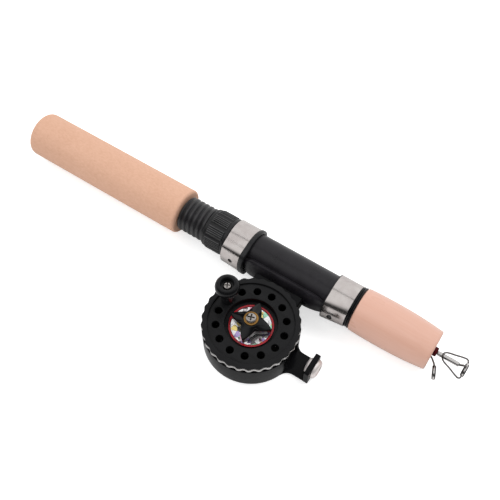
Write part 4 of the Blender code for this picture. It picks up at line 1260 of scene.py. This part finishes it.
def make_floor():
    """A plain pale floor, which the camera sees overexposed to white."""
    mesh = bpy.data.meshes.new("floor")
    shape = bmesh.new()
    bmesh.ops.create_grid(shape, x_segments=2, y_segments=2, size=3.0)
    shape.to_mesh(mesh)
    shape.free()
    floor = add_object("floor", mesh)
    floor.location = (0.0, 0.0, -0.0002)
    material = new_material("pale_floor", (0.72, 0.72, 0.72), 0.8, specular=0.1)
    tree = material.node_tree
    white = add_node(tree, "Emission", {"Strength": 0.62})
    rays = add_node(tree, "LightPath")
    overexposed = add_node(tree, "AddShader")
    seen = add_node(tree, "MixShader")
    plain = principled(material).outputs["BSDF"]
    tree.links.new(plain, overexposed.inputs[0])
    tree.links.new(white.outputs["Emission"], overexposed.inputs[1])
    tree.links.new(rays.outputs["Is Camera Ray"], seen.inputs["Fac"])
    tree.links.new(plain, seen.inputs[1])
    tree.links.new(overexposed.outputs["Shader"], seen.inputs[2])
    tree.links.new(seen.outputs["Shader"], tree.nodes["Material Output"].inputs["Surface"])
    mesh.materials.append(material)


def make_light(name, location, target, size, power):
    data = bpy.data.lights.new(name, "AREA")
    data.shape = "RECTANGLE"
    data.size, data.size_y = size
    data.energy = power
    light = add_object(name, data)
    light.location = location
    light.rotation_euler = (Vector(target) - Vector(location)).to_track_quat("-Z", "Y").to_euler()
    light.visible_glossy = False


def make_studio():
    """Bright overhead and behind, dark low on the near side, with a narrow dark gap overhead."""
    world = bpy.data.worlds.new("studio")
    bpy.context.scene.world = world
    world.use_nodes = True
    tree = world.node_tree
    background = tree.nodes["Background"]
    set_inputs(background, {"Color": (1.0, 1.0, 1.0, 1.0)})
    place = add_node(tree, "TexCoord")

    def along(direction):
        dot = add_node(tree, "VectorMath", operation="DOT_PRODUCT")
        dot.inputs[1].default_value = direction
        tree.links.new(place.outputs["Generated"], dot.inputs[0])
        return dot.outputs["Value"]

    from_gap = add_node(tree, "Math", operation="ABSOLUTE")
    both = add_node(tree, "Math", operation="MULTIPLY")
    height = along((-0.44, 0.67, 1.0))
    sky = map_range(tree, height, -0.05, 0.65, 0.04, 0.95, interpolation_type="SMOOTHSTEP")
    tree.links.new(along((0.0, 1.0, -0.03)), from_gap.inputs[0])
    tree.links.new(sky, both.inputs[0])
    tree.links.new(map_range(tree, from_gap.outputs["Value"], 0.025, 0.045, 0.0, 1.0), both.inputs[1])
    tree.links.new(both.outputs["Value"], background.inputs["Strength"])
    make_light("key", (0.35, 0.55, 0.95), (0.0, 0.0, 0.0), (0.7, 0.5), 6.0)
    make_light("fill", (-0.8, -0.2, 0.8), (0.0, 0.0, 0.0), (0.6, 0.6), 3.0)
    make_light("low_fill", (0.10, -0.80, 0.16), (0.0, 0.0, 0.01), (0.9, 0.25), 3.4)
    bpy.context.scene.view_settings.view_transform = "Standard"


def make_camera():
    """At the photograph's viewing angle, with a slight roll."""
    azimuth, elevation, roll = radians(33.218), radians(59.910), radians(-0.299)
    level = Vector((-sin(azimuth), cos(azimuth), 0.0))
    forward = level * cos(elevation) - Vector((0.0, 0.0, sin(elevation)))
    right = Vector((cos(azimuth), sin(azimuth), 0.0))
    up = right.cross(forward)
    turned_right = right * cos(roll) + up * sin(roll)
    turned_up = -right * sin(roll) + up * cos(roll)
    data = bpy.data.cameras.new("camera")
    data.sensor_width = 36.0
    data.lens = 53.16
    data.clip_start = 0.01
    camera = add_object("camera", data)
    matrix = Matrix((turned_right, turned_up, -forward)).transposed().to_4x4()
    matrix.translation = ROD_ORIGIN + Vector((-0.00629, -0.18143, 0.37191))
    camera.matrix_world = matrix
    bpy.context.scene.camera = camera


make_camera()
make_studio()
make_floor()
make_grips()
make_butt_cap()
make_seat_tube()
make_winding_check()
make_hoods()
make_lock_nut()
make_reel_foot()
make_reel_frame()
make_eyelet()
make_spool()
make_centre_trim()
make_star_knob()
make_crank()
make_reel_screws()
make_mid_section()
make_mid_guide()
make_tip()
dress_inner_nodes()
